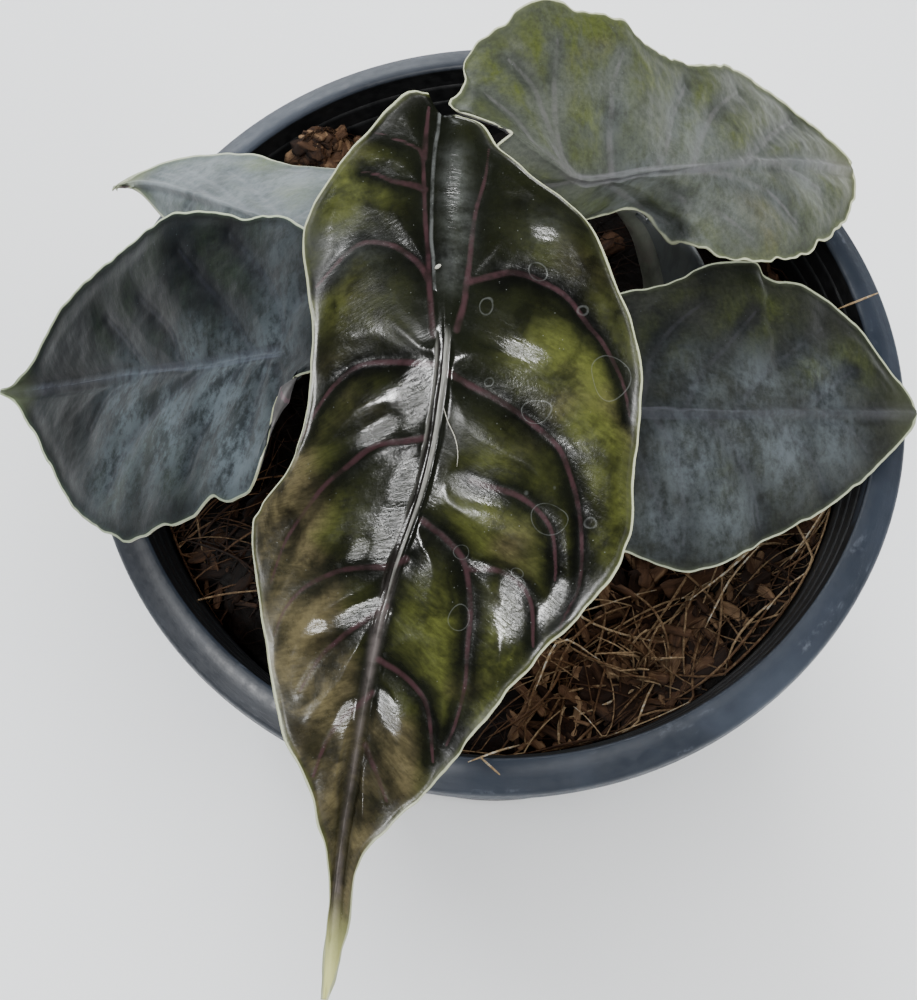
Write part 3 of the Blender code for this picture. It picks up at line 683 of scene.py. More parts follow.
def blade_piece(name, surface, heights, fields, looks):
    """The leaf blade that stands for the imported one, thicker below along its midrib and veins."""
    share = surface.shares[:, None]
    joint = surface.leaf["joint"]
    taper = 1 - ease(joint, 0.95, share)
    rib_below = (0.35 + 0.75 * taper) * bell(fields["rib"], 1.1) * ease(joint - 0.05, joint, share)
    vein_below = mound(fields["vein"], (0.35, 0.6))
    skin = 0.42 + 0.2 * ease(0, 4, fields["edge"]) + rib_below + vein_below
    skin = np.maximum(skin * ease(-0.5, 1.2, fields["edge"]), THINNEST)
    top = surface.grid + surface.normals * (heights + BLADE_THICKNESS / 2)[..., None]
    bottom = top - surface.normals * skin[..., None]
    return shell(name, top, bottom, fields, looks)


# %% [markdown]
# ## Patches
# No leaf has one colour. Where the olive shows through, where it browns and where a pale film lies,
# partly dust and partly painted sheen, is given as a few soft spots: picture place, radius in
# millimetres and strength. Dull spots take the gloss away, and lip spots widen the pale margin
# where it curls up. Each spot becomes a bump in a value that the points of the leaf hold, and the
# shader breaks its border up with noise.

# %% Soft spots on each leaf
SPOTS = {
    ("olive", "front"): [
        (352, 180, 5, 0.9), (338, 205, 5, 0.7), (372, 186, 4, 0.6), (338, 265, 5, 0.35), (338, 300, 5, 0.5),
        (312, 300, 5, 0.7), (390, 315, 4, 0.3), (345, 385, 5, 0.3), (305, 425, 5, 0.6), (285, 465, 7, 0.9),
        (300, 520, 8, 0.9), (280, 512, 6, 0.9), (285, 560, 9, 1), (290, 620, 10, 1), (300, 680, 9, 1),
        (320, 735, 8, 1), (335, 785, 6, 0.8), (525, 362, 4, 0.5), (553, 358, 5, 0.9), (590, 380, 6, 1),
        (560, 395, 6, 0.8), (598, 425, 7, 0.9), (615, 345, 5, 0.6), (500, 470, 5, 0.7), (505, 510, 6, 0.9),
        (508, 550, 6, 1), (545, 545, 5, 0.8), (600, 475, 6, 0.6), (615, 500, 5, 0.7), (590, 545, 5, 0.6),
        (470, 520, 5, 0.6), (430, 620, 6, 0.8), (432, 665, 6, 0.8), (425, 700, 5, 0.5), (470, 700, 6, 0.9),
        (505, 640, 6, 0.8), (495, 670, 5, 0.8), (555, 640, 5, 0.6), (390, 745, 6, 0.8), (400, 770, 5, 0.8),
        (380, 790, 5, 0.8), (350, 845, 5, 0.9), (342, 885, 5, 1), (338, 915, 5, 1), (545, 250, 4, 0.3),
        (590, 270, 4, 0.2), (600, 310, 4, 0.3),
    ],
    ("olive", "left"): [
        (225, 262, 9, 0.9), (150, 258, 6, 0.5), (130, 290, 6, 0.7), (110, 330, 5, 0.6), (150, 440, 6, 0.6),
        (120, 480, 6, 0.9), (180, 470, 6, 0.5), (170, 330, 6, 0.5),
    ],
    ("olive", "back_left"): [(150, 180, 5, 0.9), (265, 162, 6, 0.8), (200, 200, 6, 0.5), (280, 200, 6, 0.5)],
    ("olive", "back_right"): [
        # The strong olive spot at (640, 75) stands for a shaded dent near the upper margin: painted shade.
        (500, 80, 7, 1), (560, 45, 8, 1), (600, 35, 7, 1), (640, 75, 5, 1), (585, 120, 6, 0.8),
        (530, 110, 6, 0.8), (690, 100, 8, 0.8), (730, 130, 7, 0.7), (600, 195, 6, 0.5), (650, 215, 6, 0.3),
        (700, 235, 6, 0.5), (770, 225, 7, 0.9), (780, 150, 7, 0.6), (560, 160, 6, 0.7), (820, 190, 6, 0.7),
    ],
    ("olive", "right"): [
        (765, 312, 6, 0.8), (740, 325, 5, 0.6), (810, 370, 5, 0.7), (850, 365, 5, 0.9), (690, 300, 5, 0.3),
        (660, 340, 5, 0.3), (730, 480, 6, 0.3),
    ],
    ("brown", "front"): [
        (275, 560, 9, 0.7), (285, 620, 9, 0.8), (300, 680, 9, 0.8), (320, 740, 9, 0.8), (335, 790, 7, 0.7),
        (350, 850, 6, 0.9), (342, 890, 5, 0.9), (385, 780, 6, 0.5), (395, 745, 5, 0.4), (300, 505, 7, 0.5),
        (290, 460, 6, 0.3), (508, 548, 4, 0.3), (465, 690, 4, 0.3),
    ],
    # On the front leaf most of these spots are painted reflection: the streaks beside the crest, the soft
    # sheen at the upper left and the glint at (545, 236).
    ("dust_and_sheen", "front"): [
        (457, 160, 2, 0.6), (457, 180, 2, 0.9), (458, 200, 2, 0.9), (458, 220, 2, 0.9), (457, 240, 2, 0.8),
        (455, 260, 2, 0.6), (453, 280, 2, 0.6), (335, 250, 5, 0.4), (345, 200, 5, 0.1), (545, 236, 3, 0.4),
        (362, 255, 4, 0.3),
    ],
    ("dust_and_sheen", "left"): [
        (280, 250, 8, 0.3), (288, 300, 8, 0.4), (275, 350, 8, 0.6), (225, 400, 10, 0.8), (240, 450, 10, 0.9),
        (170, 430, 10, 0.8), (195, 352, 6, 0.6), (130, 410, 9, 0.7), (120, 470, 9, 0.6),
    ],
    ("dust_and_sheen", "back_left"): [(290, 180, 9, 0.9), (250, 190, 9, 0.8), (210, 170, 9, 0.9), (170, 195, 8, 0.8)],
    # The last three spots paint light on a fold above the lower margin that lies in shade.
    ("dust_and_sheen", "back_right"): [
        (640, 180, 10, 0.6), (720, 200, 9, 0.5), (760, 190, 9, 0.5), (690, 140, 10, 0.6), (610, 110, 9, 0.4),
        (800, 180, 8, 0.5), (620, 200, 5, 0.8), (655, 222, 5, 0.9), (690, 228, 6, 0.7),
    ],
    ("dust_and_sheen", "right"): [
        (700, 385, 8, 0.6), (760, 390, 8, 0.8), (820, 390, 8, 0.8), (690, 460, 9, 1), (720, 510, 9, 0.9),
        (780, 450, 9, 1), (830, 440, 8, 0.8), (740, 430, 8, 0.8), (660, 520, 7, 0.8),
    ],
    ("dull", "front"): [
        (405, 322, 4, 1), (385, 300, 4, 0.8), (312, 262, 5, 0.9), (452, 505, 3, 0.7), (465, 515, 3, 0.6),
        (457, 430, 4, 0.9), (466, 452, 4, 0.9), (300, 690, 6, 0.8), (272, 600, 5, 0.8), (345, 750, 5, 0.4),
    ],
    ("lip", "back_right"): [(598, 212, 4, 1.6), (622, 207, 4, 1.8), (645, 222, 4, 1.6), (668, 236, 4, 1.2)],
}
SPOT_KINDS = ("olive", "brown", "dust_and_sheen", "dull", "lip")


def spots(surface, given):
    """A value from 0 to 1 on each point of the blade: the strongest of the soft spots there."""
    value = np.zeros(len(surface.points))
    for x, y, radius, strength in given:
        away = np.linalg.norm(surface.points - surface.at_picture(x, y), axis=1)
        value = np.maximum(value, strength * bell(away, radius))
    return value.reshape(surface.grid.shape[:2])


# %% [markdown]
# ## A short way to write node trees
# A material is a small program of nodes. Writing each node and link by hand takes many lines, so
# one class keeps the words short: a noise, a step, a mix. Every result is an output socket that
# the next word takes in.

# %% Node helpers
LIGHT_STRENGTH = 1.8


def linear(colour, strength=LIGHT_STRENGTH):
    """A colour as it looks on a screen, from 0 to 255, as the share of light that the surface returns.

    The studio light is stronger than 1, so the surface has to be that much darker."""
    shares = [value / 255 for value in colour]
    light = [s / 12.92 if s <= 0.04045 else ((s + 0.055) / 1.055) ** 2.4 for s in shares]
    return tuple(value / strength for value in light) + (1.0,)


class Look:
    """A material whose nodes are made by short words."""

    def __init__(self, name):
        self.material = bpy.data.materials.new(name)
        self.material.use_nodes = True
        self.tree = self.material.node_tree
        self.skin = self.tree.nodes["Principled BSDF"]
        self.place = self.node("ShaderNodeTexCoord").outputs["Object"]

    def feed(self, node, given):
        """Links each given socket of a node to another socket, or sets its number or colour."""
        for socket, value in given.items():
            if isinstance(value, bpy.types.NodeSocket):
                self.tree.links.new(value, node.inputs[socket])
            else:
                node.inputs[socket].default_value = value

    def node(self, kind, given=None, **settings):
        """A new node of that kind, with its settings and what is given to its sockets."""
        made = self.tree.nodes.new(kind)
        for key, value in settings.items():
            setattr(made, key, value)
        self.feed(made, given or {})
        return made

    def set(self, **sockets):
        """Feeds the shader's own sockets, with _ for each space in a name."""
        self.feed(self.skin, {name.replace("_", " "): value for name, value in sockets.items()})

    def finished(self, colour, grain, rough, relief, **more):
        """The material, with its colour, a roughness that follows the grain, and its relief."""
        rough = self.step(grain, 0.3, 0.7, *rough)
        self.set(Base_Color=colour, Roughness=rough, Normal=relief, **more)
        return self.material

    def held(self, label):
        """A value that the mesh's points hold."""
        return self.node("ShaderNodeAttribute", attribute_name=label).outputs["Fac"]

    def math(self, operation, first, second=0.0, clamp=False):
        """One operation on two values, kept from 0 to 1 if clamped."""
        made = self.node("ShaderNodeMath", {0: first, 1: second}, operation=operation, use_clamp=clamp)
        return made.outputs[0]

    def times(self, first, second, clamp=False):
        return self.math("MULTIPLY", first, second, clamp)

    def plus(self, first, second, clamp=False):
        return self.math("ADD", first, second, clamp)

    def larger(self, first, second):
        return self.math("MAXIMUM", first, second)

    def swing(self, value, reach):
        """A noise of that whole reach, half of it below 0."""
        return self.times(self.math("SUBTRACT", value, 0.5), reach)

    def vector(self, operation, given):
        """One operation on vectors."""
        return self.node("ShaderNodeVectorMath", given, operation=operation).outputs

    def stretched(self, scales):
        """The object's own coordinates, with each axis scaled."""
        return self.node("ShaderNodeMapping", {"Vector": self.place, "Scale": scales}).outputs[0]

    def noise(self, size, detail=3.0, roughness=0.55, warp=0.0, place=None):
        """Noise from 0 to 1 whose largest patches are about that many millimetres across."""
        given = {"Vector": place or self.place, "Scale": 1000 / size, "Detail": detail,
                 "Roughness": roughness, "Distortion": warp}
        return self.node("ShaderNodeTexNoise", given).outputs["Fac"]

    def streaks(self, size, ratio):
        """Noise that runs in streaks, longer along the midrib when ratio is under 1."""
        given = {0: self.times(self.held("across"), MM), 1: self.times(self.held("along"), MM * ratio)}
        return self.noise(size, 4, 0.6, 0.3, self.node("ShaderNodeCombineXYZ", given).outputs[0])

    def cells(self, size):
        """The distance to the nearest of many points, about that many millimetres apart."""
        given = {"Vector": self.place, "Scale": 1000 / size}
        return self.node("ShaderNodeTexVoronoi", given).outputs["Distance"]

    def step(self, value, low, high, first=0.0, last=1.0):
        """A soft step: first below low, last above high."""
        given = {"Value": value, "From Min": low, "From Max": high, "To Min": first, "To Max": last}
        return self.node("ShaderNodeMapRange", given, interpolation_type="SMOOTHSTEP").outputs["Result"]

    def mix(self, share, first, second, way="MIX"):
        """The first colour with a share of the second one over it."""
        given = {0: share, 6: first, 7: second}
        return self.node("ShaderNodeMix", given, data_type="RGBA", blend_type=way).outputs[2]

    def ramp(self, value, stops):
        """Colours along a value: (position, screen colour) pairs."""
        made = self.node("ShaderNodeValToRGB", {0: value})
        band = made.color_ramp
        while len(band.elements) < len(stops):
            band.elements.new(0.5)
        for element, (position, colour) in zip(band.elements, stops):
            element.position = position
            element.color = linear(colour)
        return made.outputs["Color"]

    def bump(self, height, depth, before=None):
        """Small relief of that depth in millimetres, on top of the one before."""
        given = {"Distance": depth * MM, "Height": height}
        if before is not None:
            given["Normal"] = before
        return self.node("ShaderNodeBump", given).outputs["Normal"]


# %% [markdown]
# ## Leaf skin
# A leaf's colour is painted in the order in which the real one is built. First comes the flesh,
# dark with olive and brown showing between the veins. Over it lie the mauve veins, the midrib's
# pale cord and dark channel, which are a painted highlight and painted shade, the painted silver
# highlight on the crest at the front leaf's base, and the pale line of the margin. A line that has
# no colour on a leaf is left out there.

# %% Flesh and veins of the upper skin
def flesh(look, colours, form, fine):
    """The mottled colour under the veins."""
    base = look.mix(look.step(look.noise(14, 4, 0.6, 0.4), 0.35, 0.65), colours["dark"], colours["base"])
    away = look.math("MINIMUM", look.held("vein"), look.held("rib"))
    middle = look.step(look.plus(away, look.swing(fine, 2.4)), 0.6, 3.6)
    blotches = look.step(look.noise(6.5, 4, 0.6, 0.5), 0.34, 0.6, 0.3, 1.2)
    patch = look.times(look.held("olive"), blotches)
    patch = look.times(patch, look.step(look.streaks(2.4, 3.2), 0.3, 0.66, 0.7, 1.15))
    spread = look.larger(middle, look.times(look.held("brown"), 0.8))
    warm = look.step(look.plus(look.noise(19, 3, 0.5, 0.3), look.held("brown")), 0.5, 0.85)
    tint = look.mix(warm, colours["olive"], colours["brown"])
    colour = look.mix(look.times(spread, patch, clamp=True), base, tint)
    mottle = look.step(look.noise(0.8, 4, 0.7), 0.3, 0.7, 0.74, 1.3)
    shade = look.node("ShaderNodeCombineColor", {0: mottle, 1: mottle, 2: mottle})
    return look.mix(form["mottle"], colour, shade.outputs[0], "MULTIPLY")


def drawn_lines(look, colour, colours, form, fine):
    """The veins, the midrib with its painted highlight and shade, the margin and the pale tip over a colour,
    painted in this order.
    """
    width = look.math("DIVIDE", look.held("vein_width"), form["vein_spread"])
    vein = look.step(look.plus(width, look.swing(fine, 0.8)), 0.1, 1.3, 1, 0)
    vein = look.times(vein, form["vein_strength"])
    # The midrib's pale cord is a painted highlight, and its dark channel colour is painted shade.
    cord = look.times(look.held("cord"), look.step(look.streaks(0.35, 0.06), 0.3, 0.62, 0.35, 1))
    ridge = look.times(look.held("ridge"), look.step(fine, 0.3, 0.65, 0.4, 0.95))
    # The crest's pale silver is a painted highlight along the ridge.
    crest = look.step(look.held("crest"), 0.12, 0.4, 1, 0)
    band = look.step(look.held("edge"), 0.3, 1.2, 0.5, 0)
    lines = {
        "vein": look.times(vein, look.step(look.noise(3.5, 4), 0.34, 0.6, 0.3, 1), clamp=True),
        "rib_channel_shade": look.times(look.held("groove"), form["rib_show"]),
        "ridge": look.times(ridge, form["rib_show"]),
        "rib": look.times(cord, form["rib_show"]),
        "crest": look.times(crest, look.step(fine, 0.35, 0.6, 0.15, 0.8)),
        "band": look.times(band, look.step(fine, 0.3, 0.6, 0.2, 1)),
        "tip": look.held("tip"),
        "margin": look.step(look.plus(look.held("lip"), look.times(fine, 0.25)), 0.34, 0.58, 1, 0),
    }
    for kind, share in lines.items():
        if kind in colours:
            colour = look.mix(share, colour, colours[kind])
    return colour


# %% [markdown]
# ## Dust, painted sheen and gloss
# A thin film that is partly dust and partly painted sheen, small specks and the rings that dried
# drops left lie over the colours. The same film takes the gloss away, and so do the dull spots and
# the flanks of the margin. Fine pores break the gloss up further, so that the highlights get the
# streaky borders of a real leaf.

# %% Dust, painted sheen, gloss and the finished skins
def ring_traces(look, rings):
    """Thin pale lines that dried drops left: each ring is a centre and a radius in millimetres."""
    wobble = look.node("ShaderNodeTexNoise", {"Vector": look.place, "Scale": 150, "Detail": 0})
    scaled = look.vector("SCALE", {0: wobble.outputs["Color"], "Scale": 2.2 * MM})[0]
    shifted = look.vector("ADD", {0: look.place, 1: scaled})[0]
    nearest = 1.0
    for centre, radius in rings:
        gap = look.vector("DISTANCE", {0: shifted, 1: [MM * value for value in centre]})["Value"]
        off = look.math("ABSOLUTE", look.math("SUBTRACT", gap, radius * MM))
        nearest = look.math("MINIMUM", nearest, off)
    return look.step(nearest, 0.02 * MM, 0.11 * MM, 1, 0)


def dust_and_sheen_film(look, form, fine, rings):
    """How much of the skin the film of dust and painted sheen, the specks and the drop rings cover."""
    cloud = look.plus(look.times(look.noise(8, 6, 0.75), 0.55), look.times(look.streaks(3, 2.2), 0.25))
    cloud = look.plus(cloud, look.times(look.noise(1.6, 5, 0.75), 0.2))
    edge = form["film_edge"]
    # The film is partly dust and partly painted sheen.
    dust_and_sheen = look.times(look.held("dust_and_sheen"), look.step(cloud, 0.5 - edge, 0.5 + edge, 0.2, 1))
    specks = look.step(look.cells(1.3), 0.04, 0.09, 1, 0)
    specks = look.times(specks, look.step(look.noise(7, 2), 0.42, 0.62))
    haze = look.larger(look.times(dust_and_sheen, form["film"], clamp=True), look.times(specks, 0.4))
    if rings:
        traces = look.times(ring_traces(look, rings), look.step(fine, 0.25, 0.6, 0.03, 0.2))
        haze = look.larger(haze, traces)
    return haze


def upper_skin(name, colours, form, rings):
    """The leaf's upper skin, from flesh to dust."""
    look = Look(name)
    fine = look.noise(2.2, 4, 0.6)
    grain = look.noise(0.45, 2, 0.6)
    colours = {kind: linear(colour) for kind, colour in colours.items()}
    haze = dust_and_sheen_film(look, form, fine, rings)
    colour = drawn_lines(look, flesh(look, colours, form, fine), colours, form, fine)
    # Over the lines goes the film's colour: dust with painted sheen.
    colour = look.mix(haze, colour, colours["dust_and_sheen"])
    rough = look.step(look.noise(6, 5, 0.7), 0.3, 0.75, *form["gloss"])
    for more in (look.times(haze, 0.35), look.times(look.held("flash"), 0.12),
                 look.times(look.held("dull"), 0.22), look.step(look.held("edge"), 0.8, 3.5, 0.16, 0)):
        rough = look.plus(rough, more)
    rough = look.plus(rough, look.swing(grain, 0.12), clamp=True)
    pleats = look.times(look.streaks(2.4, 4.5), look.plus(look.held("flash"), 0.15))
    relief = look.bump(look.noise(2.6, 4, 0.6), 0.03)
    relief = look.bump(grain, 0.02, look.bump(pleats, 0.16, relief))
    shine = look.step(look.held("dull"), 0, 1, form["shine"], form["shine"] * 0.3)
    look.set(Base_Color=colour, Roughness=rough, Normal=relief, Specular_IOR_Level=shine)
    return look.material


def under_skin(name, body, vein, sheen):
    """The dull underside, with its veins and midrib in a colour of their own."""
    look = Look(name)
    fine = look.noise(3, 4, 0.6)
    colour = look.mix(look.step(fine, 0.3, 0.7), linear(body), linear([value * 0.72 for value in body]))
    cord = look.step(look.held("vein_width"), 0.9, 1.7, 1, 0)
    ribbed = look.step(look.held("rib"), 0.9, 1.8, 1, 0)
    colour = look.mix(look.times(look.larger(cord, ribbed), 0.85), colour, linear(vein))
    colour = look.mix(look.step(look.held("edge"), 0.3, 0.9, 1, 0), colour, linear((196, 200, 158)))
    relief = look.bump(look.noise(1.4, 4, 0.6), 0.12)
    return look.finished(colour, fine, (sheen - 0.08, sheen + 0.12), relief)


def rim_skin():
    """The pale cut edge of a leaf."""
    look = Look("leaf_rim")
    fine = look.noise(2.4, 4, 0.6)
    colour = look.ramp(fine, [(0.3, (172, 178, 128)), (0.55, (214, 214, 182)), (0.8, (228, 226, 205))])
    return look.finished(colour, fine, (0.35, 0.55), look.bump(look.noise(0.8, 3), 0.05))


LEAF_RIM = rim_skin()

# %% [markdown]
# ## Make the five leaves
# The front leaf is young and glossy, almost black with olive between the veins. The others are
# older, greyer, partly by painted sheen, and carry more film. Each blade takes its imported solid's place.

# %% Leaf colours and blades
# The grey-blue and silver of the four older leaves is partly painted sheen. On every leaf the film colour is
# partly dust and partly painted sheen, the midrib's pale cord is a painted highlight and its dark channel
# colour painted shade, its ridge is pale with a painted highlight, and the crest's silver is a painted
# highlight.
LEAF_COLOURS = {
    "front": dict(
        dark=(7, 8, 5), base=(24, 27, 16), olive=(100, 105, 50), brown=(124, 113, 80), vein=(90, 59, 65),
        rib=(188, 186, 178), rib_channel_shade=(36, 33, 29), ridge=(148, 137, 134), crest=(116, 118, 116),
        band=(100, 106, 52), tip=(252, 252, 168), margin=(232, 236, 196), dust_and_sheen=(165, 170, 165),
    ),
    "left": dict(
        dark=(6, 9, 12), base=(15, 22, 26), olive=(30, 42, 27), brown=(38, 42, 38), vein=(40, 42, 54),
        rib=(84, 90, 104), rib_channel_shade=(54, 58, 70), ridge=(78, 82, 96), band=(60, 76, 56), tip=(130, 140, 96),
        margin=(212, 224, 188), dust_and_sheen=(122, 135, 142),
    ),
    "back_left": dict(
        dark=(74, 84, 86), base=(104, 114, 116), olive=(98, 112, 76), brown=(108, 112, 94),
        vein=(138, 142, 146), rib=(150, 156, 158), rib_channel_shade=(114, 120, 124), ridge=(150, 156, 158),
        band=(130, 142, 110), tip=(190, 196, 150), margin=(228, 234, 202), dust_and_sheen=(176, 184, 188),
    ),
    "back_right": dict(
        dark=(58, 62, 54), base=(93, 97, 87), olive=(86, 94, 46), brown=(98, 96, 76), vein=(128, 124, 126),
        rib=(136, 134, 138), rib_channel_shade=(98, 96, 100), ridge=(130, 128, 132), band=(122, 130, 90),
        tip=(176, 178, 130), margin=(230, 234, 194), dust_and_sheen=(156, 163, 165),
    ),
    "right": dict(
        dark=(28, 30, 29), base=(45, 46, 42), olive=(64, 70, 40), brown=(60, 60, 48), vein=(66, 65, 70),
        rib=(90, 90, 98), rib_channel_shade=(58, 58, 64), ridge=(84, 84, 90), band=(90, 96, 76), tip=(130, 136, 100),
        margin=(206, 212, 180), dust_and_sheen=(126, 135, 141),
    ),
}
LEAF_FORM = {
    "front": dict(
        rows=401, columns=76, height=1.4, channel=1.0, pucker=0.12, slot="leaf_dark_green", olive=0.04,
        tip=1.0, gloss=(0.14, 0.25), shine=0.22, film=0.35, mottle=0.45, vein_strength=0.68,
        vein_spread=1.32, rib_show=1.0, film_edge=0.1,
    ),
    "left": dict(
        rows=271, columns=60, height=0.7, channel=0.25, pucker=0.17, slot="leaf_blue_grey", olive=0.14,
        tip=0.4, gloss=(0.34, 0.52), shine=0.1, film=0.8, mottle=1.0, vein_strength=0.35, vein_spread=2.2,
        rib_show=0.7, film_edge=0.07,
    ),
    "back_left": dict(
        rows=221, columns=50, height=0.6, channel=0.2, pucker=0.25, slot="leaf_silver", olive=0.14, tip=0.4,
        gloss=(0.36, 0.55), shine=0.15, film=0.6, mottle=0.6, vein_strength=0.35, vein_spread=2.0,
        rib_show=0.6, film_edge=0.1,
    ),
    "back_right": dict(
        rows=281, columns=60, height=0.8, channel=0.25, pucker=0.25, slot="leaf_grey_green", olive=0.2,
        tip=0.15, gloss=(0.32, 0.52), shine=0.15, film=0.55, mottle=0.8, vein_strength=0.34, vein_spread=2.4,
        rib_show=0.6, film_edge=0.1,
    ),
    "right": dict(
        rows=261, columns=60, height=0.7, channel=0.2, pucker=0.2, slot="leaf_olive_grey", olive=0.1,
        tip=0.15, gloss=(0.32, 0.52), shine=0.1, film=0.6, mottle=0.9, vein_strength=0.35, vein_spread=2.0,
        rib_show=0.6, film_edge=0.11,
    ),
}
# Picture place and radius, in pixels, of the rings of dried drops.
DROP_RINGS = {"front": [(616, 370, 23), (549, 401, 17), (571, 331, 12), (533, 482, 9), (557, 510, 18),
                        (563, 476, 7), (597, 512, 10), (526, 562, 7), (467, 607, 13), (592, 431, 9),
                        (499, 370, 7), (602, 455, 7), (500, 298, 14), (543, 265, 13), (576, 248, 9),
                        (591, 433, 12), (590, 300, 12), (520, 575, 11), (470, 545, 9), (560, 590, 8)]}
PIXELS_PER_MM = 6.6


def midrib_fields(joint, share, across):
    """The midrib's pale cord and far edge as painted highlight, the painted shade in the channel beside it,
    and the ridge it becomes towards the tip, pale with a painted highlight.
    """
    past = ease(joint - 0.02, joint + 0.01, share)
    width = 0.85 - 0.6 * ease(joint + 0.05, 0.55, share)
    # The pale cord is a painted highlight on the wall of the midrib's channel.
    cord = past * ease(-0.08, 0.08, across) * (1 - ease(width - 0.12, width + 0.05, across))
    cord = cord * (1 - 0.9 * ease(0.45, 0.6, share))
    # The far edge is a thin painted highlight on the channel's other rim.
    far_edge = past * bell(across + 1.32, 0.1) * (1 - ease(0.42, 0.5, share))
    # The groove mask carries painted shade in the midrib's channel.
    groove = past * ease(-1.3, -1.15, across) * (1 - ease(-0.12, 0.02, across))
    groove = groove * (1 - ease(0.46, 0.6, share))
    ridge_width = np.interp(share, [0.55, 0.7, 0.82, 0.95], [0.85, 0.6, 0.9, 1.7])
    ridge_show = np.interp(share, [0.55, 0.64, 0.8, 0.88], [1, 0.5, 0.55, 1])
    # Towards the tip the ridge is pale tissue with a painted highlight on it.
    ridge = past * ease(0.46, 0.6, share) * ridge_show * bell(across, ridge_width)
    return dict(cord=np.maximum(cord, 0.7 * far_edge), groove=groove, ridge=ridge)


def leaf_fields(surface, name, form):
    """All that the points of a leaf hold for its relief and its shaders."""
    share = surface.shares[:, None] + 0 * surface.places[None, :]
    fields = relief_fields(surface, name)
    fields["flash"] = flashes(surface, name)
    for kind in SPOT_KINDS:
        fields[kind] = spots(surface, SPOTS.get((kind, name), []))
    fields["olive"] = form["olive"] + (1 - form["olive"]) * fields["olive"]
    fields["lip"] = surface.edge / (1 + fields["lip"])
    fields["tip"] = ease(0.86, 0.97, share) * form["tip"]
    fields["along"] = share * curve_length(surface.leaf["midrib"])
    fields.update(midrib_fields(surface.leaf["joint"], share, fields["across"]))
    return fields


# %% The five blades
UNDERSIDE = (72, 68, 68)
UNDERSIDE_VEIN = (106, 76, 86)
UNDERSIDE_ROUGHNESS = 0.68

surfaces = {}
reliefs = {}
blades = {}
for name, leaf in BLADES.items():
    form = LEAF_FORM[name]
    surface = Surface(leaf, form["rows"], form["columns"])
    fields = leaf_fields(surface, name, form)
    heights = quilt(surface, fields, form["height"], form["channel"], form["pucker"])
    if name in FLASHES:
        heights = settled(surface, heights, fields["flash"])
    rings = [(tuple(surface.at_picture(x, y)), radius / PIXELS_PER_MM)
             for x, y, radius in DROP_RINGS.get(name, [])]
    top = upper_skin(name + "_skin", LEAF_COLOURS[name], form, rings)
    under = under_skin(name + "_underside", UNDERSIDE, UNDERSIDE_VEIN, UNDERSIDE_ROUGHNESS)
    blade = blade_piece(name + "_leaf", surface, heights, fields, [top, under, LEAF_RIM])
    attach(blade, "root")
    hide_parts(name + "_blade")
    surfaces[name] = surface
    reliefs[name] = heights
    blades[name] = blade
    print(blade.name, "faces:", len(blade.data.polygons))

# %% [markdown]
# ## Leaf stalks
# Each stalk leaves the crown, leans out and meets its blade from below, at the place where the
# midrib and the two basal veins join. A stalk is a tube along a curve. Its rings are made with
# frames that don't twist, and its far end swells a little before it runs into the blade.

# %% A tube along a path
START_SIDE = [0.31, 0.17, 0.94]


def tube_rings(path, radii, sides, shape=None):
    """Rings of points round a path, carried along without twist."""
    path = np.array(path, float)
    along = unit(np.gradient(path, axis=0))
    side = unit(np.cross(along[0], START_SIDE))
    angles = np.linspace(0, 2 * math.pi, sides, endpoint=False)
    rings = []
    for point, direction, radius in zip(path, along, radii):
        side = unit(side - (side @ direction) * direction)
        other = np.cross(direction, side)
        reach = radius * (shape(angles) if shape else 1)
        across = (np.cos(angles) * reach)[:, None] * side + (np.sin(angles) * reach)[:, None] * other
        rings.append(point + across)
    return np.array(rings)


def tube_faces(count, sides, start=0):
    """Faces of a closed tube whose rings follow each other, with flat ends."""
    faces = []
    for ring in range(count - 1):
        for index in range(sides):
            after = (index + 1) % sides
            low = start + ring * sides
            faces.append((low + index, low + after, low + sides + after, low + sides + index))
    faces.append(tuple(start + index for index in reversed(range(sides))))
    faces.append(tuple(start + (count - 1) * sides + index for index in range(sides)))
    return faces


def solid(name, points, faces, look, values=None):
    """A mesh object from points, or from groups of points, in millimetres."""
    mesh = bpy.data.meshes.new(name)
    mesh.from_pydata((np.vstack(points) * MM).tolist(), [], faces)
    for label, numbers in (values or {}).items():
        hold(mesh, label, numbers)
    mesh.materials.append(look)
    mesh.shade_smooth()
    return placed(name, mesh)


# %% Stalk skin
def stalk_skin():
    """Grey-green skin with fine darker streaks along it."""
    look = Look("stalk_skin")
    streaks = look.noise(2.4, 4, 0.6, place=look.stretched((1, 1, 0.12)))
    patches = look.noise(7, 4, 0.65, 0.5)
    colour = look.ramp(patches, [(0.3, (92, 97, 86)), (0.5, (118, 122, 110)), (0.72, (124, 116, 110))])
    colour = look.mix(look.step(streaks, 0.5, 0.7, 0, 0.6), colour, linear((70, 62, 58)))
    flecks = look.step(look.cells(1.6), 0.08, 0.16, 0.5, 0)
    colour = look.mix(flecks, colour, linear((86, 52, 58)))
    return look.finished(colour, streaks, (0.34, 0.5), look.bump(streaks, 0.12))


STALK = stalk_skin()
# Where the stem stands, and how high it reaches.
CROWN = (25.0, 8.0)
CROWN_TOP = 108.0
FOOT_CIRCLE = 6.6
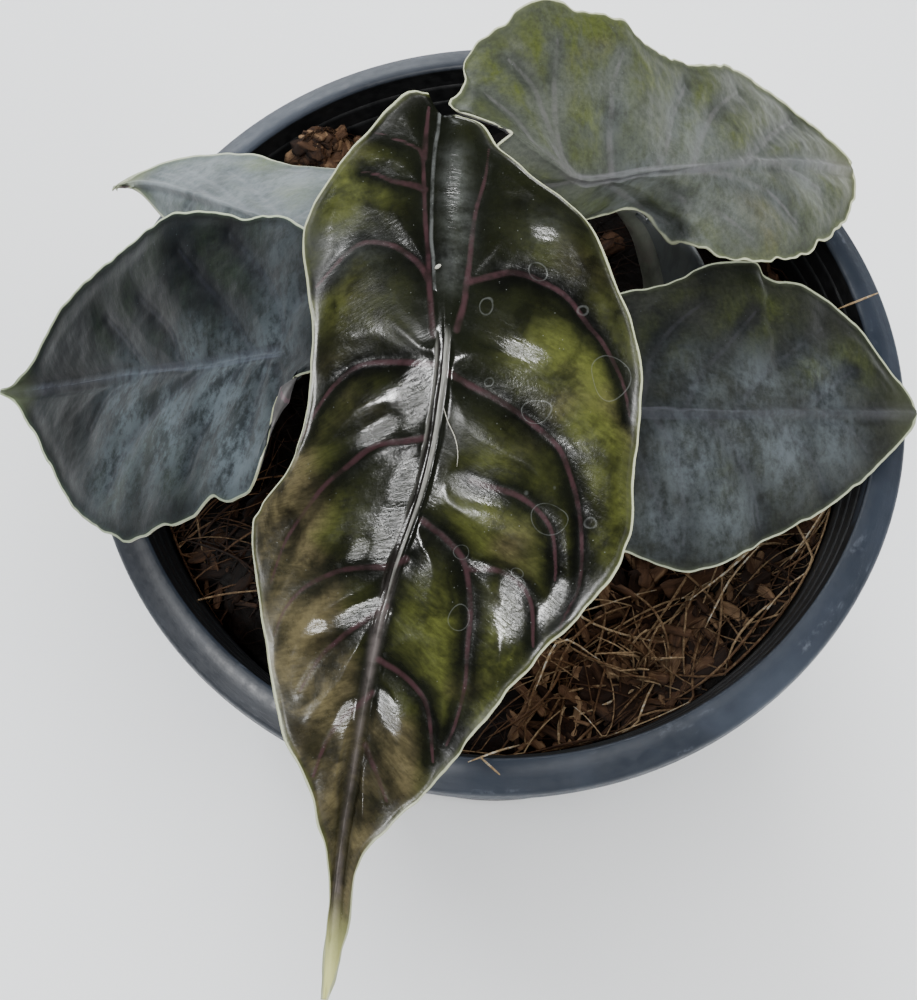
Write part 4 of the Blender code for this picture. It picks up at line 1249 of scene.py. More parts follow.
# For each stalk the direction of its foot in degrees, and the points it passes on its way up.
STALKS = {
    "front": (-115, [(18, -3, 128), (8, -12, 155), (-1, -22, 182), (-6, -30, 201)]),
    "left": (-165, [(12, 3, 122), (-6, -7, 146), (-22, -17, 168), (-32, -23, 181)]),
    "back_left": (145, [(13, 13, 120), (-1, 12, 134), (-16, 9, 151), (-27, 6, 163)]),
    "back_right": (50, [(30.8, 18, 122), (28, 21.5, 138), (23.8, 21.5, 152), (18, 18.5, 166)]),
    "right": (-55, [(29, -3, 122), (26, -12, 138), (20.5, -19.5, 152)]),
}
SEAT_REACH = 5.0
SEAT_WIDTH = 2.6
SEAT_GAP = 0.45
SEAT_LENGTH = 2.2
STALK_SIDES = 24


def seat_of(surface, relief):
    """Where a stalk ends under its blade, and the direction in which it arrives.

    The stalk's end is flat, so it stays below the lowest point of the raised skin round the joint."""
    row = int(round(surface.leaf["joint"] * (len(surface.shares) - 1)))
    middle = len(surface.places) // 2
    row_step = curve_length(surface.leaf["midrib"]) / len(surface.shares)
    reach = max(2, int(SEAT_LENGTH / row_step))
    normal = unit(surface.normals[row, middle - 4:middle + 5].mean(axis=0))
    joint = surface.grid[row, middle]
    raised = (surface.grid + surface.normals * relief[..., None])[row - reach:row + reach].reshape(-1, 3)
    near = raised[np.linalg.norm(raised - joint, axis=1) < SEAT_WIDTH]
    fold = max(0.0, -((near - joint) @ normal).min())
    return joint - normal * (SEAT_GAP + fold), normal


def stalk_path(name, count=60):
    """The points of a stalk from the stem to its blade."""
    angle, way = STALKS[name]
    seat, normal = seat_of(surfaces[name], reliefs[name])
    foot = (CROWN[0] + FOOT_CIRCLE * math.cos(math.radians(angle)),
            CROWN[1] + FOOT_CIRCLE * math.sin(math.radians(angle)))
    points = [(*foot, CROWN_TOP - 1)] + way + [tuple(seat - SEAT_REACH * normal), tuple(seat)]
    return smooth_curve(points, np.linspace(0, 1, count))


def groove(angles):
    """A stalk is round with a shallow groove along one side."""
    return 1 - 0.12 * bell(angles - math.pi, 0.5)


stalks = {}
for name in BLADES:
    path = stalk_path(name)
    share = np.linspace(0, 1, len(path))
    radii = 2.35 - 0.75 * share + 0.5 * bell(1 - share, 0.03) + 0.9 * bell(share, 0.06)
    radii = radii * (1 + 0.02 * np.sin(share * 40))
    rings = tube_rings(path, radii, STALK_SIDES, groove)
    stalk = solid(name + "_stalk", rings, tube_faces(len(path), STALK_SIDES), STALK)
    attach(stalk, "root")
    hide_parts(name + "_petiole")
    stalks[name] = path
print("stalks:", {name: round(curve_length(path)) for name, path in stalks.items()})

# %% [markdown]
# ## The open sheath
# The stalk at the back right carries a wide, thin wing: the sheath from which the next leaf came.
# It is a curved sheet with a rolled edge, smooth and bluish, and it stands beside its stalk.

# %% The sheath
SHEATH_HEIGHTS = [110, 122, 136, 146, 154]
SHEATH_WIDTHS = [6.0, 9.5, 11.0, 9.0, 3.0]
SHEATH_THICKNESS = 0.7


def sheath_skin():
    """Smooth bluish skin with fine lines along it."""
    look = Look("sheath_skin")
    lines = look.noise(1.3, 3, 0.5, place=look.stretched((1, 1, 0.05)))
    patches = look.noise(8, 4, 0.6)
    colour = look.ramp(patches, [(0.3, (92, 98, 100)), (0.55, (112, 118, 119)), (0.8, (124, 129, 126))])
    colour = look.mix(look.step(lines, 0.52, 0.66, 0, 0.4), colour, linear((72, 74, 76)))
    return look.finished(colour, patches, (0.32, 0.46), look.bump(lines, 0.06), Coat_Weight=0.15)


def sheath_grid(thickness):
    """The wing as two grids of points, before and behind its middle."""
    path = stalks["back_right"]
    heights = np.linspace(SHEATH_HEIGHTS[0], SHEATH_HEIGHTS[-1], 61)
    shares = np.linspace(0, 1, 23)
    widths = np.interp(heights, SHEATH_HEIGHTS, SHEATH_WIDTHS)
    smooth = np.convolve(np.pad(widths, 6, mode="edge"), np.ones(13) / 13, mode="valid")
    grid = np.empty((len(heights), len(shares), 3))
    for row, height in enumerate(heights):
        start = [np.interp(height, path[:, 2], path[:, axis]) for axis in range(2)]
        wave = 0.35 * np.sin(height * 0.35) * shares**2
        grid[row, :, 0] = start[0] + smooth[row] * shares
        grid[row, :, 1] = start[1] - 0.5 - 2.5 * shares**2 + wave + 0.8 * ease(0.8, 1, shares)
        grid[row, :, 2] = height
    normals = unit(np.cross(np.gradient(grid, axis=0), np.gradient(grid, axis=1)))
    bead = thickness / 2 * (1 + 0.7 * ease(0.86, 0.97, shares) * (1 - ease(0.97, 1, shares)))
    offset = normals * bead[None, :, None]
    return grid + offset, grid - offset


front_side, back_side = sheath_grid(SHEATH_THICKNESS)
SHEATH = sheath_skin()
sheath = shell("back_right_sheath", front_side, back_side, {}, [SHEATH, SHEATH, SHEATH])
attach(sheath, "root")
print("sheath faces:", len(sheath.data.polygons))

# %% [markdown]
# ## The crown
# The stalks stand on a short thick stem, ringed by the scars of old leaves. It is a turned shape
# whose rings are made uneven with noise.

# %% The crown
# Height and radius of the stem, from its foot in the husk to its hollow top.
CROWN_PROFILE = [(92, 7), (95, 8.4), (98, 8.9), (100.5, 8.6), (101, 9.15), (102.4, 9.1), (102.8, 8.5),
                 (103.6, 8.7), (104, 9.1), (105, 8.9), (105.4, 8.2), (106.2, 8.4), (106.6, 8.8),
                 (107.4, 8.3), (108, 7.2), (107.6, 4.5), (107.4, 1.5)]
CROWN_SIDES = 72


def bark_look():
    """Brown bark in bands round the stem."""
    look = Look("crown_bark")
    bands = look.noise(2.6, 5, 0.65, place=look.stretched((0.35, 0.35, 2.4)))
    stops = [(0.3, (44, 32, 24)), (0.5, (84, 62, 42)), (0.7, (122, 98, 66)), (0.85, (88, 92, 62))]
    return look.finished(look.ramp(bands, stops), bands, (0.7, 0.9), look.bump(bands, 0.5))


def circle(sides):
    """Points round a flat circle of radius 1."""
    angles = np.linspace(0, 2 * math.pi, sides, endpoint=False)
    return np.stack([np.cos(angles), np.sin(angles), 0 * angles], axis=1)


def crown_mesh(look):
    spread = circle(CROWN_SIDES)
    rings = []
    for height, radius in CROWN_PROFILE:
        ring = np.array([*CROWN, height]) + radius * spread
        ring += spread * (0.3 * waves(ring, 5.0, 21))[:, None]
        ring[:, 2] += 0.25 * waves(ring, 6.0, 22) * (height < 107.9)
        rings.append(ring)
    return solid("crown_stem", rings, tube_faces(len(CROWN_PROFILE), CROWN_SIDES), look)


crown = crown_mesh(bark_look())
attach(crown, "root")
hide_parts("rhizome")
print("crown faces:", len(crown.data.polygons))

# %% [markdown]
# ## The nursery pot
# The pot is round, so its wall is drawn once as a profile and turned. The lip slopes outwards,
# ends in a soft bead and drops into a skirt. The inside has three moulded steps, and the floor has
# drain holes. Thin plastic is never quite true, so slow noise pushes the turned points a little.

# %% The wall's profile
POT_HEIGHT = 120.0
RIM_RADIUS = 80.0
MOUTH_RADIUS = 73.5
BASE_RADIUS = 55.0
WALL = 1.2
POT_FLOOR = 2.5
LIP_DROP = 2.9
SKIRT = 3.7
RIDGE_STEP = 0.5
RIDGE_HEIGHTS = (107.0, 111.0, 115.0)
POT_SIDES = 256


def inner_radius(height):
    """The radius of the pot's inner wall below its steps."""
    share = (height - POT_FLOOR) / (POT_HEIGHT - POT_FLOOR)
    steps = RIDGE_STEP * len(RIDGE_HEIGHTS)
    return (BASE_RADIUS - WALL) + (MOUTH_RADIUS - steps - BASE_RADIUS + WALL) * share


def outer_radius(height):
    """The radius of the pot's tapered outer side."""
    return MOUTH_RADIUS + WALL + (BASE_RADIUS + 0.4 - MOUTH_RADIUS - WALL) * (117 - height) / 115


def arc(centre, radius, start, end, count):
    """Points of a rounded corner, angles in degrees."""
    angles = [math.radians(angle) for angle in np.linspace(start, end, count)]
    return [(centre[0] + radius * math.cos(a), centre[1] + radius * math.sin(a)) for a in angles]


def pot_profile():
    """Radius and height along the wall: floor, up the inner side, over the lip, down the outer side."""
    points = [(0, POT_FLOOR), (20, POT_FLOOR), (inner_radius(POT_FLOOR) - 2, POT_FLOOR)]
    points += arc((inner_radius(POT_FLOOR) - 1.6, POT_FLOOR + 1.9), 1.9, -70, -8, 5)
    points += [(inner_radius(height), height) for height in (20, 45, 70, 90)]
    for index, height in enumerate(RIDGE_HEIGHTS):
        wall = inner_radius(height) + RIDGE_STEP * index
        points += [(wall, height - 0.5), (wall + 0.06, height - 0.05),
                   (wall + RIDGE_STEP - 0.06, height + 0.3), (wall + RIDGE_STEP, height + 0.8)]
    points += [(MOUTH_RADIUS - 0.05, POT_HEIGHT - 2.4)]
    points += arc((MOUTH_RADIUS + 1.0, POT_HEIGHT - 1.0), 1.0, 180, 100, 6)
    points += [(MOUTH_RADIUS + 2.6, POT_HEIGHT - 0.55), (MOUTH_RADIUS + 4.0, POT_HEIGHT - 1.25)]
    points += arc((RIM_RADIUS - 1.5, POT_HEIGHT - LIP_DROP - 1.1), 1.5, 66, 0, 7)
    low = POT_HEIGHT - LIP_DROP - SKIRT
    points += [(RIM_RADIUS - 0.02, low + 0.5)]
    points += arc((RIM_RADIUS - WALL / 2, low + 0.3), WALL / 2 - 0.02, 0, -180, 7)
    under = POT_HEIGHT - LIP_DROP - WALL
    points += [(RIM_RADIUS - WALL, under - 0.5), (RIM_RADIUS - WALL - 0.5, under + 0.05),
               (MOUTH_RADIUS + WALL + 0.5, under + 1.3), (MOUTH_RADIUS + WALL, under + 0.9)]
    points += [(outer_radius(height), height) for height in (108, 100, 90)]
    for height in (70, 50, 30, 14):
        points += [(outer_radius(height), height + 0.35), (outer_radius(height), height - 0.35)]
    points += arc((BASE_RADIUS - 1.6, 2.0), 2.0, -5, -85, 6)
    points += [(BASE_RADIUS - 4.5, 0.0), (BASE_RADIUS - 6, 0.9), (30, 0.9), (0, 0.9)]
    return points


# %% Turn the profile and cut the drain holes
DRAINS = 8
DRAIN_CIRCLE = 0.038
DRAIN_RADIUS = 0.005
POT_UNEVENNESS = 0.16


def black_plastic():
    """Dark plastic with turned streaks, scuffs and a few dried splashes, darker below the rim, and with
    painted shade inside.
    """
    look = Look("pot_plastic")
    broad = look.noise(26, 4, 0.6, 0.3)
    fine = look.noise(2, 4, 0.65)
    turned = look.noise(3.5, 4, 0.6, place=look.stretched((0.25, 0.25, 2.5)))
    colour = look.ramp(broad, [(0.3, (40, 47, 58)), (0.55, (53, 61, 74)), (0.8, (70, 79, 93))])
    scuffs = look.times(look.step(turned, 0.56, 0.7), look.step(fine, 0.45, 0.65, 0, 0.5))
    colour = look.mix(scuffs, colour, linear((112, 118, 130)))
    splashes = look.step(look.cells(7.5), 0.05, 0.085, 1, 0)
    splashes = look.times(splashes, look.step(look.noise(20, 2), 0.52, 0.62, 0, 0.7))
    colour = look.mix(splashes, colour, linear((172, 166, 150)))
    height = look.node("ShaderNodeSeparateXYZ", {0: look.place}).outputs[2]
    below_rim = look.step(height, 0.108, 0.1135, 0.75, 0)
    below_rim = look.times(below_rim, look.step(scuffs, 0, 0.4, 1, 0.5))
    colour = look.mix(below_rim, colour, look.ramp(broad, [(0.3, (24, 26, 29)), (0.75, (42, 45, 50))]))
    # Painted shade: the pot's inner wall and floor are darkened almost to black.
    colour = look.mix(look.held("inside"), colour, linear((16, 17, 19)))
    rough = look.plus(look.step(fine, 0.3, 0.7, 0.36, 0.5), look.times(broad, 0.16))
    look.set(Base_Color=colour, Roughness=rough, Normal=look.bump(turned, 0.08, look.bump(fine, 0.05)),
             Specular_IOR_Level=0.32)
    return look.material


def lathe(name, profile, sides, look, unevenness):
    """A closed turned body from a profile that starts and ends on the axis."""
    spread = circle(sides)
    rings = []
    for radius, height in profile[1:-1]:
        ring = radius * spread + np.array([0, 0, height])
        ring += spread * (unevenness * waves(ring, 90.0, 31, 2))[:, None] * min(1, height / 40)
        rings.append(ring)
    points = np.vstack([np.array(rings).reshape(-1, 3), [(0, 0, profile[0][1]), (0, 0, profile[-1][1])]])
    top, bottom = len(points) - 2, len(points) - 1
    faces = []
    for index in range(sides):
        after = (index + 1) % sides
        faces.append((top, index, after))
        for ring in range(len(rings) - 1):
            low = ring * sides
            faces.append((low + index, low + sides + index, low + sides + after, low + after))
        last = (len(rings) - 1) * sides
        faces.append((bottom, last + after, last + index))
    return solid(name, points, faces, look)


def drain_cutter():
    """Upright cylinders in one mesh, one for each drain hole."""
    mesh = bmesh.new()
    for index in range(DRAINS):
        angle = 2 * math.pi * (index + 0.5) / DRAINS
        where = Matrix.Translation((DRAIN_CIRCLE * math.cos(angle), DRAIN_CIRCLE * math.sin(angle), 0.002))
        bmesh.ops.create_cone(mesh, cap_ends=True, segments=32, radius1=DRAIN_RADIUS, radius2=DRAIN_RADIUS,
                              depth=0.01, matrix=where)
    data = bpy.data.meshes.new("drains")
    mesh.to_mesh(data)
    mesh.free()
    return placed("drains", data)


def cut_with(target, cutter):
    """Takes the cutter's volume out of the target for good, and removes the cutter."""
    hole = target.modifiers.new("holes", "BOOLEAN")
    hole.operation = "DIFFERENCE"
    hole.solver = "EXACT"
    hole.object = cutter
    bpy.context.view_layer.update()
    done = bpy.data.meshes.new_from_object(target.evaluated_get(bpy.context.evaluated_depsgraph_get()))
    target.modifiers.clear()
    target.data = done
    bpy.data.objects.remove(cutter)


def on_inside(point):
    """1 for a point of the pot's inner wall or floor, and 0 for the rest of the pot."""
    radius = math.hypot(point.x, point.y) / MM
    height = point.z / MM
    reach = 1.9 if height > 95 else 0.6
    return float(radius < inner_radius(height) + reach and 2 < height < 119.4 and radius < 73.9)


pot = lathe("nursery_pot", pot_profile(), POT_SIDES, black_plastic(), POT_UNEVENNESS)
cut_with(pot, drain_cutter())
hold(pot.data, "inside", [on_inside(vertex.co) for vertex in pot.data.vertices])
pot.data.set_sharp_from_angle(angle=math.radians(40))
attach(pot, "root")
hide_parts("pot")
print("pot faces:", len(pot.data.polygons))

# %% [markdown]
# ## The growing mix
# The pot is filled with coconut husk: brown chips, and between them a mat of fibres. The bed is a
# closed plug with a rough top. Chips and fibres are real meshes strewn on it, so the surface
# casts its own small shadows. A value on every point sets how pale it is: the husk is darker on
# the left and at the back, where painted shade stands for the shadow of the leaves.

# %% The husk bed
FILL_LEVEL = POT_HEIGHT - 18.0
HEAP = (-41.0, 59.0)
HEAP_HEIGHT = 15.0
BED_SIDES = 260
BED_RINGS = 108
BED_GAP = 0.35


def fill_height(x, y):
    """The bed's surface: low mounds, a little higher round the crown."""
    mounds = np.sin(0.13 * x + 0.4) * np.cos(0.11 * y - 0.7) + 0.5 * np.sin(0.21 * x - 0.17 * y)
    away = np.hypot(x - CROWN[0], y - CROWN[1])
    heap = np.hypot(x - HEAP[0], y - HEAP[1])
    level = FILL_LEVEL + 1.6 * mounds + 2.0 * bell(away, 22)
    return level + HEAP_HEIGHT * bell(heap, 10)


def painted_shade(x, y):
    """How much darker the husk is painted there: painted shade on the left and at the back, under the
    leaves, but none on the heap.
    """
    on_heap = bell(np.hypot(x - HEAP[0], y - HEAP[1]), 15)
    return 0.3 * np.maximum(ease(10, -35, x), ease(10, 40, y)) * (1 - on_heap)


def husk_look(name, stops, depth, grained=False):
    """Dull husk whose colour follows each point's tint, with a grain of its own where it is grained."""
    look = Look(name)
    place = look.place
    if grained:
        grain = {0: look.held("grain_x"), 1: look.held("grain_y"), 2: look.held("grain_z")}
        place = look.node("ShaderNodeCombineXYZ", grain).outputs[0]
    strands = look.noise(1.6, 5, 0.7, 0.4 if grained else 1.2, place)
    tint = look.plus(look.times(look.held("tint"), 0.7), look.swing(strands, 0.9), clamp=True)
    return look.finished(look.ramp(tint, stops), strands, (0.75, 0.95), look.bump(strands, depth),
                         Specular_IOR_Level=0.12)


def bed_mesh(look):
    """A disc of rings with fine relief on top, then straight down to the floor."""
    edge = inner_radius(FILL_LEVEL) - BED_GAP
    spread = circle(BED_SIDES)
    rings = []
    for radius in np.concatenate([[0.6], np.linspace(1.2, edge, BED_RINGS)]):
        ring = radius * spread
        ring[:, 2] = fill_height(ring[:, 0], ring[:, 1])
        relief = 1.3 * waves(ring, 11.0, 41, 3) + 0.7 * np.abs(waves(ring, 3.4, 42, 3)) - 1.1
        ring[:, 2] += relief * (radius < edge)
        rings.append(ring)
    rings[-1][:, 2] = FILL_LEVEL - 2.5
    for height in (80.0, 40.0, POT_FLOOR + 0.4):
        rings.append((inner_radius(height) - BED_GAP) * spread + (0, 0, height))
    points = np.vstack(rings)
    faces = [tuple(reversed(face)) for face in tube_faces(len(rings), BED_SIDES)]
    # The bed's tint is lowered by painted shade on the left and at the back.
    tint = 0.27 + 0.16 * waves(points, 14.0, 43) - painted_shade(points[:, 0], points[:, 1])
    return solid("husk_bed", points, faces, look, {"tint": tint})


BED_LOOK = husk_look("husk_bed", [(0, (12, 7, 5)), (0.35, (34, 20, 13)), (0.6, (66, 40, 26)),
                                  (0.85, (110, 74, 50))], 0.9)
bed = bed_mesh(BED_LOOK)
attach(bed, "root")
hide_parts("substrate")
print("bed faces:", len(bed.data.polygons))

# %% [markdown]
# ## Chips
# A chip of husk is a blunt, torn block. Each one starts as a small ball of triangles that is
# pulled towards a block, stretched, roughened and dropped on the bed at a random angle. Thin
# flakes are made the same way. Every chip has its grain along its own length, and is moved
# inwards where it would cut the wall. The seeded random numbers bring the same chips each time.

# %% Strew the chips
FULL_TURN = 6.28


def in_disc(rng, reach):
    """A random place no further from the pot's axis than the reach."""
    radius = reach * math.sqrt(rng.random())
    angle = 2 * math.pi * rng.random()
    return radius * math.cos(angle), radius * math.sin(angle)


def near(rng, centre, across, along=None):
    """A random place round a centre."""
    return centre[0] + rng.gauss(0, across), centre[1] + rng.gauss(0, along or across)


def ball(level):
    """Points and faces of an even ball of triangles."""
    mesh = bmesh.new()
    bmesh.ops.create_icosphere(mesh, subdivisions=level, radius=1.0)
    points = np.array([vertex.co[:] for vertex in mesh.verts])
    faces = [tuple(vertex.index for vertex in face.verts) for face in mesh.faces]
    mesh.free()
    return points, faces


def turned(points, turn, tilt, roll):
    """Points turned about z, then tilted about y and rolled about x."""
    spin = Matrix.Rotation(turn, 3, "Z") @ Matrix.Rotation(tilt, 3, "Y") @ Matrix.Rotation(roll, 3, "X")
    return points @ np.array(spin).T


def on_level(x, y, height):
    """The point in millimetres at that height which the picture shows at x, y."""
    ray = np.array(ahead) * FOCAL_PIXELS + np.array(sideways) * (x - IMAGE_WIDTH / 2)
    ray = ray - np.array(upwards) * (y - IMAGE_HEIGHT / 2)
    return np.array(eye) + ray * (height - eye.z) / ray[2]


def chip_points(rng, shape, size, seed):
    """A torn chip's points before it is bent and turned, and after."""
    blocky = np.sign(shape) * np.abs(shape) ** 0.55
    scaled = blocky * np.array(size) / 2
    torn = 0.14 * min(size) + 0.07 * size[1]
    scaled = scaled + unit(shape) * (torn * waves(scaled * (0.5, 1, 1), 2.6, seed))[:, None]
    bent = scaled.copy()
    bent[:, 1] += rng.uniform(-0.04, 0.04) * scaled[:, 0] ** 2
    bent[:, 2] += rng.uniform(-0.03, 0.03) * scaled[:, 0] ** 2
    turn = rng.uniform(0, FULL_TURN)
    return scaled, turned(bent, turn, rng.uniform(-0.35, 0.35), rng.uniform(-0.7, 0.7))


BALL_POINTS, BALL_FACES = ball(3)
CHIP_COUNT = 110
CHIP_THICKNESS = 0.38
FLAKE_THICKNESS = 0.1
FLAKES_PER_PLACE = 20
CROWN_CLEARANCE = 11
# x, y, spread, count, greatest length and tint of each clump of chips.
# The heap's clump is given a paler tint: partly painted light, where the heap lies in the leaves' shade.
CLUMPS = [(-40, 56, 10, 110, 5.5, 0.78), (59, 34, 8, 12, 9.5, 0.6), (30, -52, 16, 10, 9.5, 0.6)]
# Picture places round which the flakes lie.
FLAKE_PLACES = [(640, 600), (700, 610), (590, 680), (650, 690), (745, 575), (560, 715), (620, 640),
                (240, 560), (800, 520), (680, 650), (760, 275)]


def chip_list(rng):
    """x, y, length, thickness as a share of the length, and tint of every chip and flake."""
    listed = []
    for x, y, spread, count, biggest, tint in CLUMPS:
        for _ in range(count):
            length = rng.uniform(2.6, biggest)
            listed.append((*near(rng, (x, y), spread / 2), length, CHIP_THICKNESS, tint))
    for _ in range(CHIP_COUNT):
        listed.append((*in_disc(rng, 64), rng.uniform(3.5, 9.5), CHIP_THICKNESS, 0.55))
    for spot in FLAKE_PLACES:
        centre = on_level(*spot, FILL_LEVEL)
        for _ in range(FLAKES_PER_PLACE):
            listed.append((*near(rng, centre, 5), rng.uniform(5, 14), FLAKE_THICKNESS, 0.7))
    return listed


def chips_mesh(look):
    """All chips as one mesh, each with its own tint and grain."""
    rng = random.Random(5)
    points, faces, tints, grains = [], [], [], []
    for index, (x, y, length, thickness, tint) in enumerate(chip_list(rng)):
        if math.hypot(x - CROWN[0], y - CROWN[1]) < CROWN_CLEARANCE:
            continue
        slender = (0.12, 0.3) if thickness == FLAKE_THICKNESS else (0.35, 0.65)
        width = length * rng.uniform(*slender)
        size = (length, width, max(0.7, length * thickness * rng.uniform(0.8, 1.2)))
        own, shape = chip_points(rng, BALL_POINTS, size, index)
        level = float(fill_height(x, y)) + rng.uniform(-0.6, 1.4)
        over = np.hypot(shape[:, 0] + x, shape[:, 1] + y).max() - inner_radius(level) + 0.8
        if over > 0:
            inwards = 1 - over / math.hypot(x, y)
            x, y = x * inwards, y * inwards
            level = float(fill_height(x, y)) + rng.uniform(-0.4, 1.0)
        start = len(points) * len(BALL_POINTS)
        points.append(shape + np.array([x, y, level]))
        faces += [tuple(start + corner for corner in face) for face in BALL_FACES]
        # Chips take the same painted shade.
        tints += [tint + rng.uniform(-0.4, 0.35) - float(painted_shade(x, y))] * len(BALL_POINTS)
        grains.append((own * (0.12, 1, 1) + (0, 0, 9.0 * index)) * MM)
    grain = np.vstack(grains)
    values = {"tint": tints, "grain_x": grain[:, 0], "grain_y": grain[:, 1], "grain_z": grain[:, 2]}
    return solid("husk_chips", points, faces, look, values)


CHIP_LOOK = husk_look("husk_chip", [(0, (16, 10, 7)), (0.35, (50, 34, 25)), (0.6, (100, 72, 52)),
                                    (0.9, (180, 146, 110))], 0.5, grained=True)
chips = chips_mesh(CHIP_LOOK)
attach(chips, "root")
print("chips faces:", len(chips.data.polygons))

# %% [markdown]
# ## Fibres
# Loose fibres lie over the bed in all directions: short dark ones in a mat, longer tan ones on
# top, a tuft that stands up at the front right, and a few that reach over the rim. Each is a thin
# tube with tapered ends, and its own tint sets how dark it is. The last two lie on the front
# leaf, a pale hair and a short fleck.

# %% Strew the fibres
FIBRE_SIDES = 5
FIBRE_REACH = 69.0
FIBRE_STEP = 2.2


def fibre_path(rng, x, y, turn, length, lift, bow):
    """A fibre that lies over the bed: it bows sideways and rises in the middle."""
    count = max(5, int(length / FIBRE_STEP))
    path = []
    wave = rng.uniform(0, FULL_TURN)
    for t in np.linspace(-1, 1, count):
        along = t * length / 2
        across = bow * (1 - t * t) + 0.35 * math.sin(3 * t + wave)
        px = x + along * math.cos(turn) - across * math.sin(turn)
        py = y + along * math.sin(turn) + across * math.cos(turn)
        inwards = min(1, FIBRE_REACH / math.hypot(px, py))
        px, py = px * inwards, py * inwards
        path.append((px, py, float(fill_height(px, py)) + 0.4 + lift * (1 - t * t)))
    return path


# Fibres drawn one by one: places in the picture, and the height at each one.
HAND_FIBRES = [
    ([(838, 309), (858, 301), (878, 293)], (121, 122.5, 123)),
    ([(520, 745), (495, 752), (468, 762)], (108, 119, 121.5)),
    ([(480, 757), (490, 766), (500, 775)], (121.3, 121.6, 121.2)),
    ([(265, 590), (225, 594), (190, 602)], (106, 106, 108)),
    ([(760, 545), (730, 580), (705, 628)], (108, 109, 107)),
    ([(775, 520), (740, 560), (690, 600)], (108, 110, 107)),
    ([(600, 660), (560, 640), (535, 690)], (106, 108, 106)),
    ([(850, 470), (818, 520), (790, 560)], (110, 111, 108)),
]
HAIR = [(445, 408), (448, 422), (455, 437), (458, 452), (457, 466)]
FLECK = [(435, 269), (438, 267), (441, 265)]
TAN_PLACES = [(640, 640), (700, 620), (560, 700), (620, 700), (760, 600), (230, 560), (240, 520), (820, 540)]
TUFT_PLACE = (640, 672)


def on_blade(name, x, y, lift):
    """The point in millimetres, that far above the blade, which the picture shows at x, y."""
    towards = Vector(on_level(x, y, 0.0)) - eye
    graph = bpy.context.evaluated_depsgraph_get()
    _, place, normal, _ = blades[name].ray_cast(eye * MM, towards, depsgraph=graph)
    return np.array(place + normal * lift * MM) / MM


def lying_fibres(rng):
    """The dark mat, the short ones on the heap and the tan ones: path, radius and tint of each."""
    paths = []
    for _ in range(900):
        spot = in_disc(rng, 68)
        length = rng.uniform(6, 20)
        path = fibre_path(rng, *spot, rng.uniform(0, FULL_TURN), length, rng.uniform(0.2, 2.2),
                          rng.uniform(-0.25, 0.25) * length)
        paths.append((path, rng.uniform(0.06, 0.18), rng.uniform(0.15, 0.7)))
    for _ in range(90):
        path = fibre_path(rng, *near(rng, HEAP, 5), rng.uniform(0, FULL_TURN), rng.uniform(4, 10),
                          rng.uniform(0.8, 3.0), rng.uniform(-2, 2))
        paths.append((path, rng.uniform(0.07, 0.15), rng.uniform(0.4, 0.9)))
    for _ in range(170):
        centre = on_level(*rng.choice(TAN_PLACES), FILL_LEVEL)
        length = rng.uniform(14, 34)
        path = fibre_path(rng, *near(rng, centre, 8, 7), rng.gauss(0.6, 0.7), length, rng.uniform(0.8, 4.0),
                          rng.uniform(-0.2, 0.2) * length)
        paths.append((path, rng.uniform(0.09, 0.3), rng.uniform(0.5, 1.25)))
    return paths


def standing_fibres(rng):
    """The tuft that stands up at the front right."""
    root = on_level(*TUFT_PLACE, FILL_LEVEL)
    paths = []
    for _ in range(34):
        lean = rng.uniform(-0.7, 0.7)
        forth = rng.uniform(-0.2, 0.6)
        tall = rng.uniform(7, 15)
        start = np.array([*near(rng, root, 2.2), root[2] + 0.5])
        way = [start + tall * share * np.array([lean * share, forth, 0.75 - 0.25 * share])
               for share in (0, 0.35, 0.7, 1)]
        path = smooth_curve(way, np.linspace(0, 1, 7))
        paths.append((path, rng.uniform(0.14, 0.28), rng.uniform(0.75, 1.25)))
    return paths


def drawn_fibres():
    """The fibres drawn one by one, and the hair and the fleck on the front leaf."""
    paths = []
    for trace, levels in HAND_FIBRES:
        way = [on_level(x, y, level) for (x, y), level in zip(trace, levels)]
        paths.append((smooth_curve(way, np.linspace(0, 1, 9)), 0.22, 1.3))
    for trace, radius, lift in ((HAIR, 0.08, 0.25), (FLECK, 0.3, 0.15)):
        way = [on_blade("front", x, y, lift) for x, y in trace]
        paths.append((smooth_curve(way, np.linspace(0, 1, 13)), radius, 1.9))
    return paths


def fibres_mesh(look):
    """All fibres as one mesh of thin tubes, each with its own tint."""
    rng = random.Random(9)
    paths = lying_fibres(rng) + standing_fibres(rng) + drawn_fibres()
    points, faces, tints = [], [], []
    for path, radius, tint in paths:
        taper = np.sin(np.linspace(0.25, math.pi - 0.25, len(path))) ** 0.5
        faces += tube_faces(len(path), FIBRE_SIDES, len(tints))
        points += list(tube_rings(path, radius * taper, FIBRE_SIDES))
        middle = path[len(path) // 2]
        # Fibres take the same painted shade, by their middle.
        tints += [tint - float(painted_shade(*middle[:2]))] * (len(path) * FIBRE_SIDES)
    return solid("husk_fibres", points, faces, look, {"tint": tints})


FIBRE_LOOK = husk_look("husk_fibre", [(0, (20, 12, 8)), (0.35, (58, 38, 26)), (0.6, (104, 76, 52)),
                                      (0.9, (190, 162, 124)), (1, (228, 224, 208))], 0.1)
fibres = fibres_mesh(FIBRE_LOOK)
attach(fibres, "root")
print("fibres faces:", len(fibres.data.polygons))

# %% [markdown]
# ## Floor and light
# The pot stands on a plain pale floor. A wide soft light behind it, like a bright sky, gives the
# leaves part of their grey sheen; the rest is painted sheen in their colours. A small bright patch
# shows in reflections only, and makes the white flashes on the front leaf. Three wide fills at the
# left, the right and above light the colours without showing in the gloss, and a pale world
# softens the shadows.

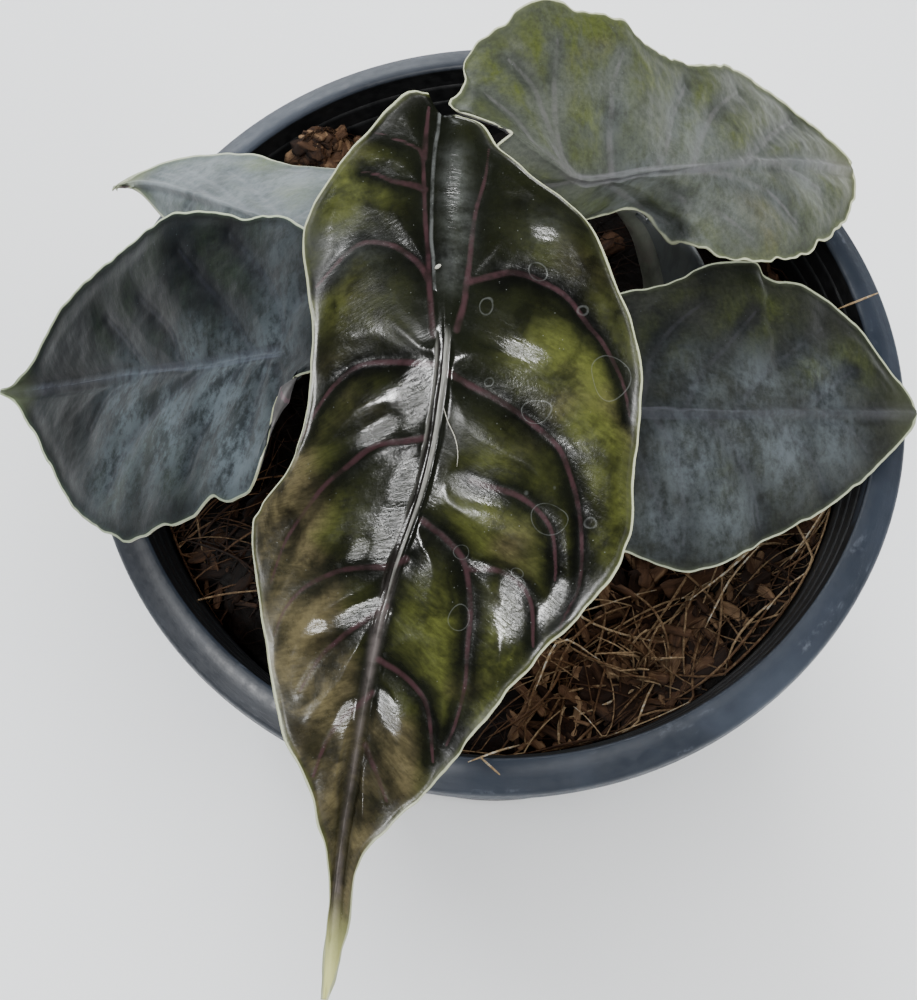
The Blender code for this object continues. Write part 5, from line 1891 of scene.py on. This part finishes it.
# %% Floor
FLOOR_REACH = 3000.0
FLOOR_DEPTH = -0.2


def floor_look():
    """Almost white paper."""
    look = Look("floor_paper")
    tone = look.step(look.noise(120, 3, 0.5), 0.3, 0.7, 0, 1)
    paper = look.mix(tone, linear((246, 246, 247), 1), linear((249, 249, 249), 1))
    look.set(Base_Color=paper, Roughness=0.9)
    return look.material


corners = [(x * FLOOR_REACH, y * FLOOR_REACH, FLOOR_DEPTH) for x, y in ((-1, -1), (1, -1), (1, 1), (-1, 1))]
floor = solid("floor", corners, [(0, 1, 2, 3)], floor_look())
print("floor half width in metres:", FLOOR_REACH * MM)

# %% Lights
def soft_light(name, place, target, size, watts, tone=(1.0, 1.0, 1.0)):
    """A soft area light at a place, looking at a target, both in metres."""
    light = bpy.data.lights.new(name, "AREA")
    light.shape = "RECTANGLE"
    light.size, light.size_y = size
    light.energy = watts
    light.color = tone
    lamp = placed(name, light)
    lamp.location = place
    lamp.rotation_euler = (Vector(target) - Vector(place)).to_track_quat("-Z", "Y").to_euler()
    return lamp


MIDDLE = (-0.01, -0.02, 0.15)
soft_light("sky_window", (-0.75, 1.5, 0.75), MIDDLE, (1.4, 0.9), 46, (0.93, 0.97, 1.0))
bright_patch = soft_light("bright_patch", tuple(WINDOW * MM), (-0.01, -0.05, 0.2), (0.29, 0.26), 54)
bright_patch.visible_diffuse = False
FILLS = [("left_fill", (-1.5, -0.5, 0.8), (1.8, 1.4), 10, (0.96, 0.98, 1.0)),
         ("right_fill", (1.4, -0.7, 0.8), (1.6, 1.2), 36, (0.97, 0.99, 1.0)),
         ("top_fill", (0.1, 0.2, 1.9), (1.8, 1.8), 52, (0.97, 0.99, 1.0))]
for name, place, size, watts, tone in FILLS:
    soft_light(name, place, MIDDLE, size, watts, tone).visible_glossy = False
world = bpy.data.worlds.new("pale_room")
world.use_nodes = True
sky = world.node_tree.nodes["Background"]
sky.inputs["Color"].default_value = (0.96, 0.97, 1.0, 1.0)
sky.inputs["Strength"].default_value = 0.2
bpy.context.scene.world = world
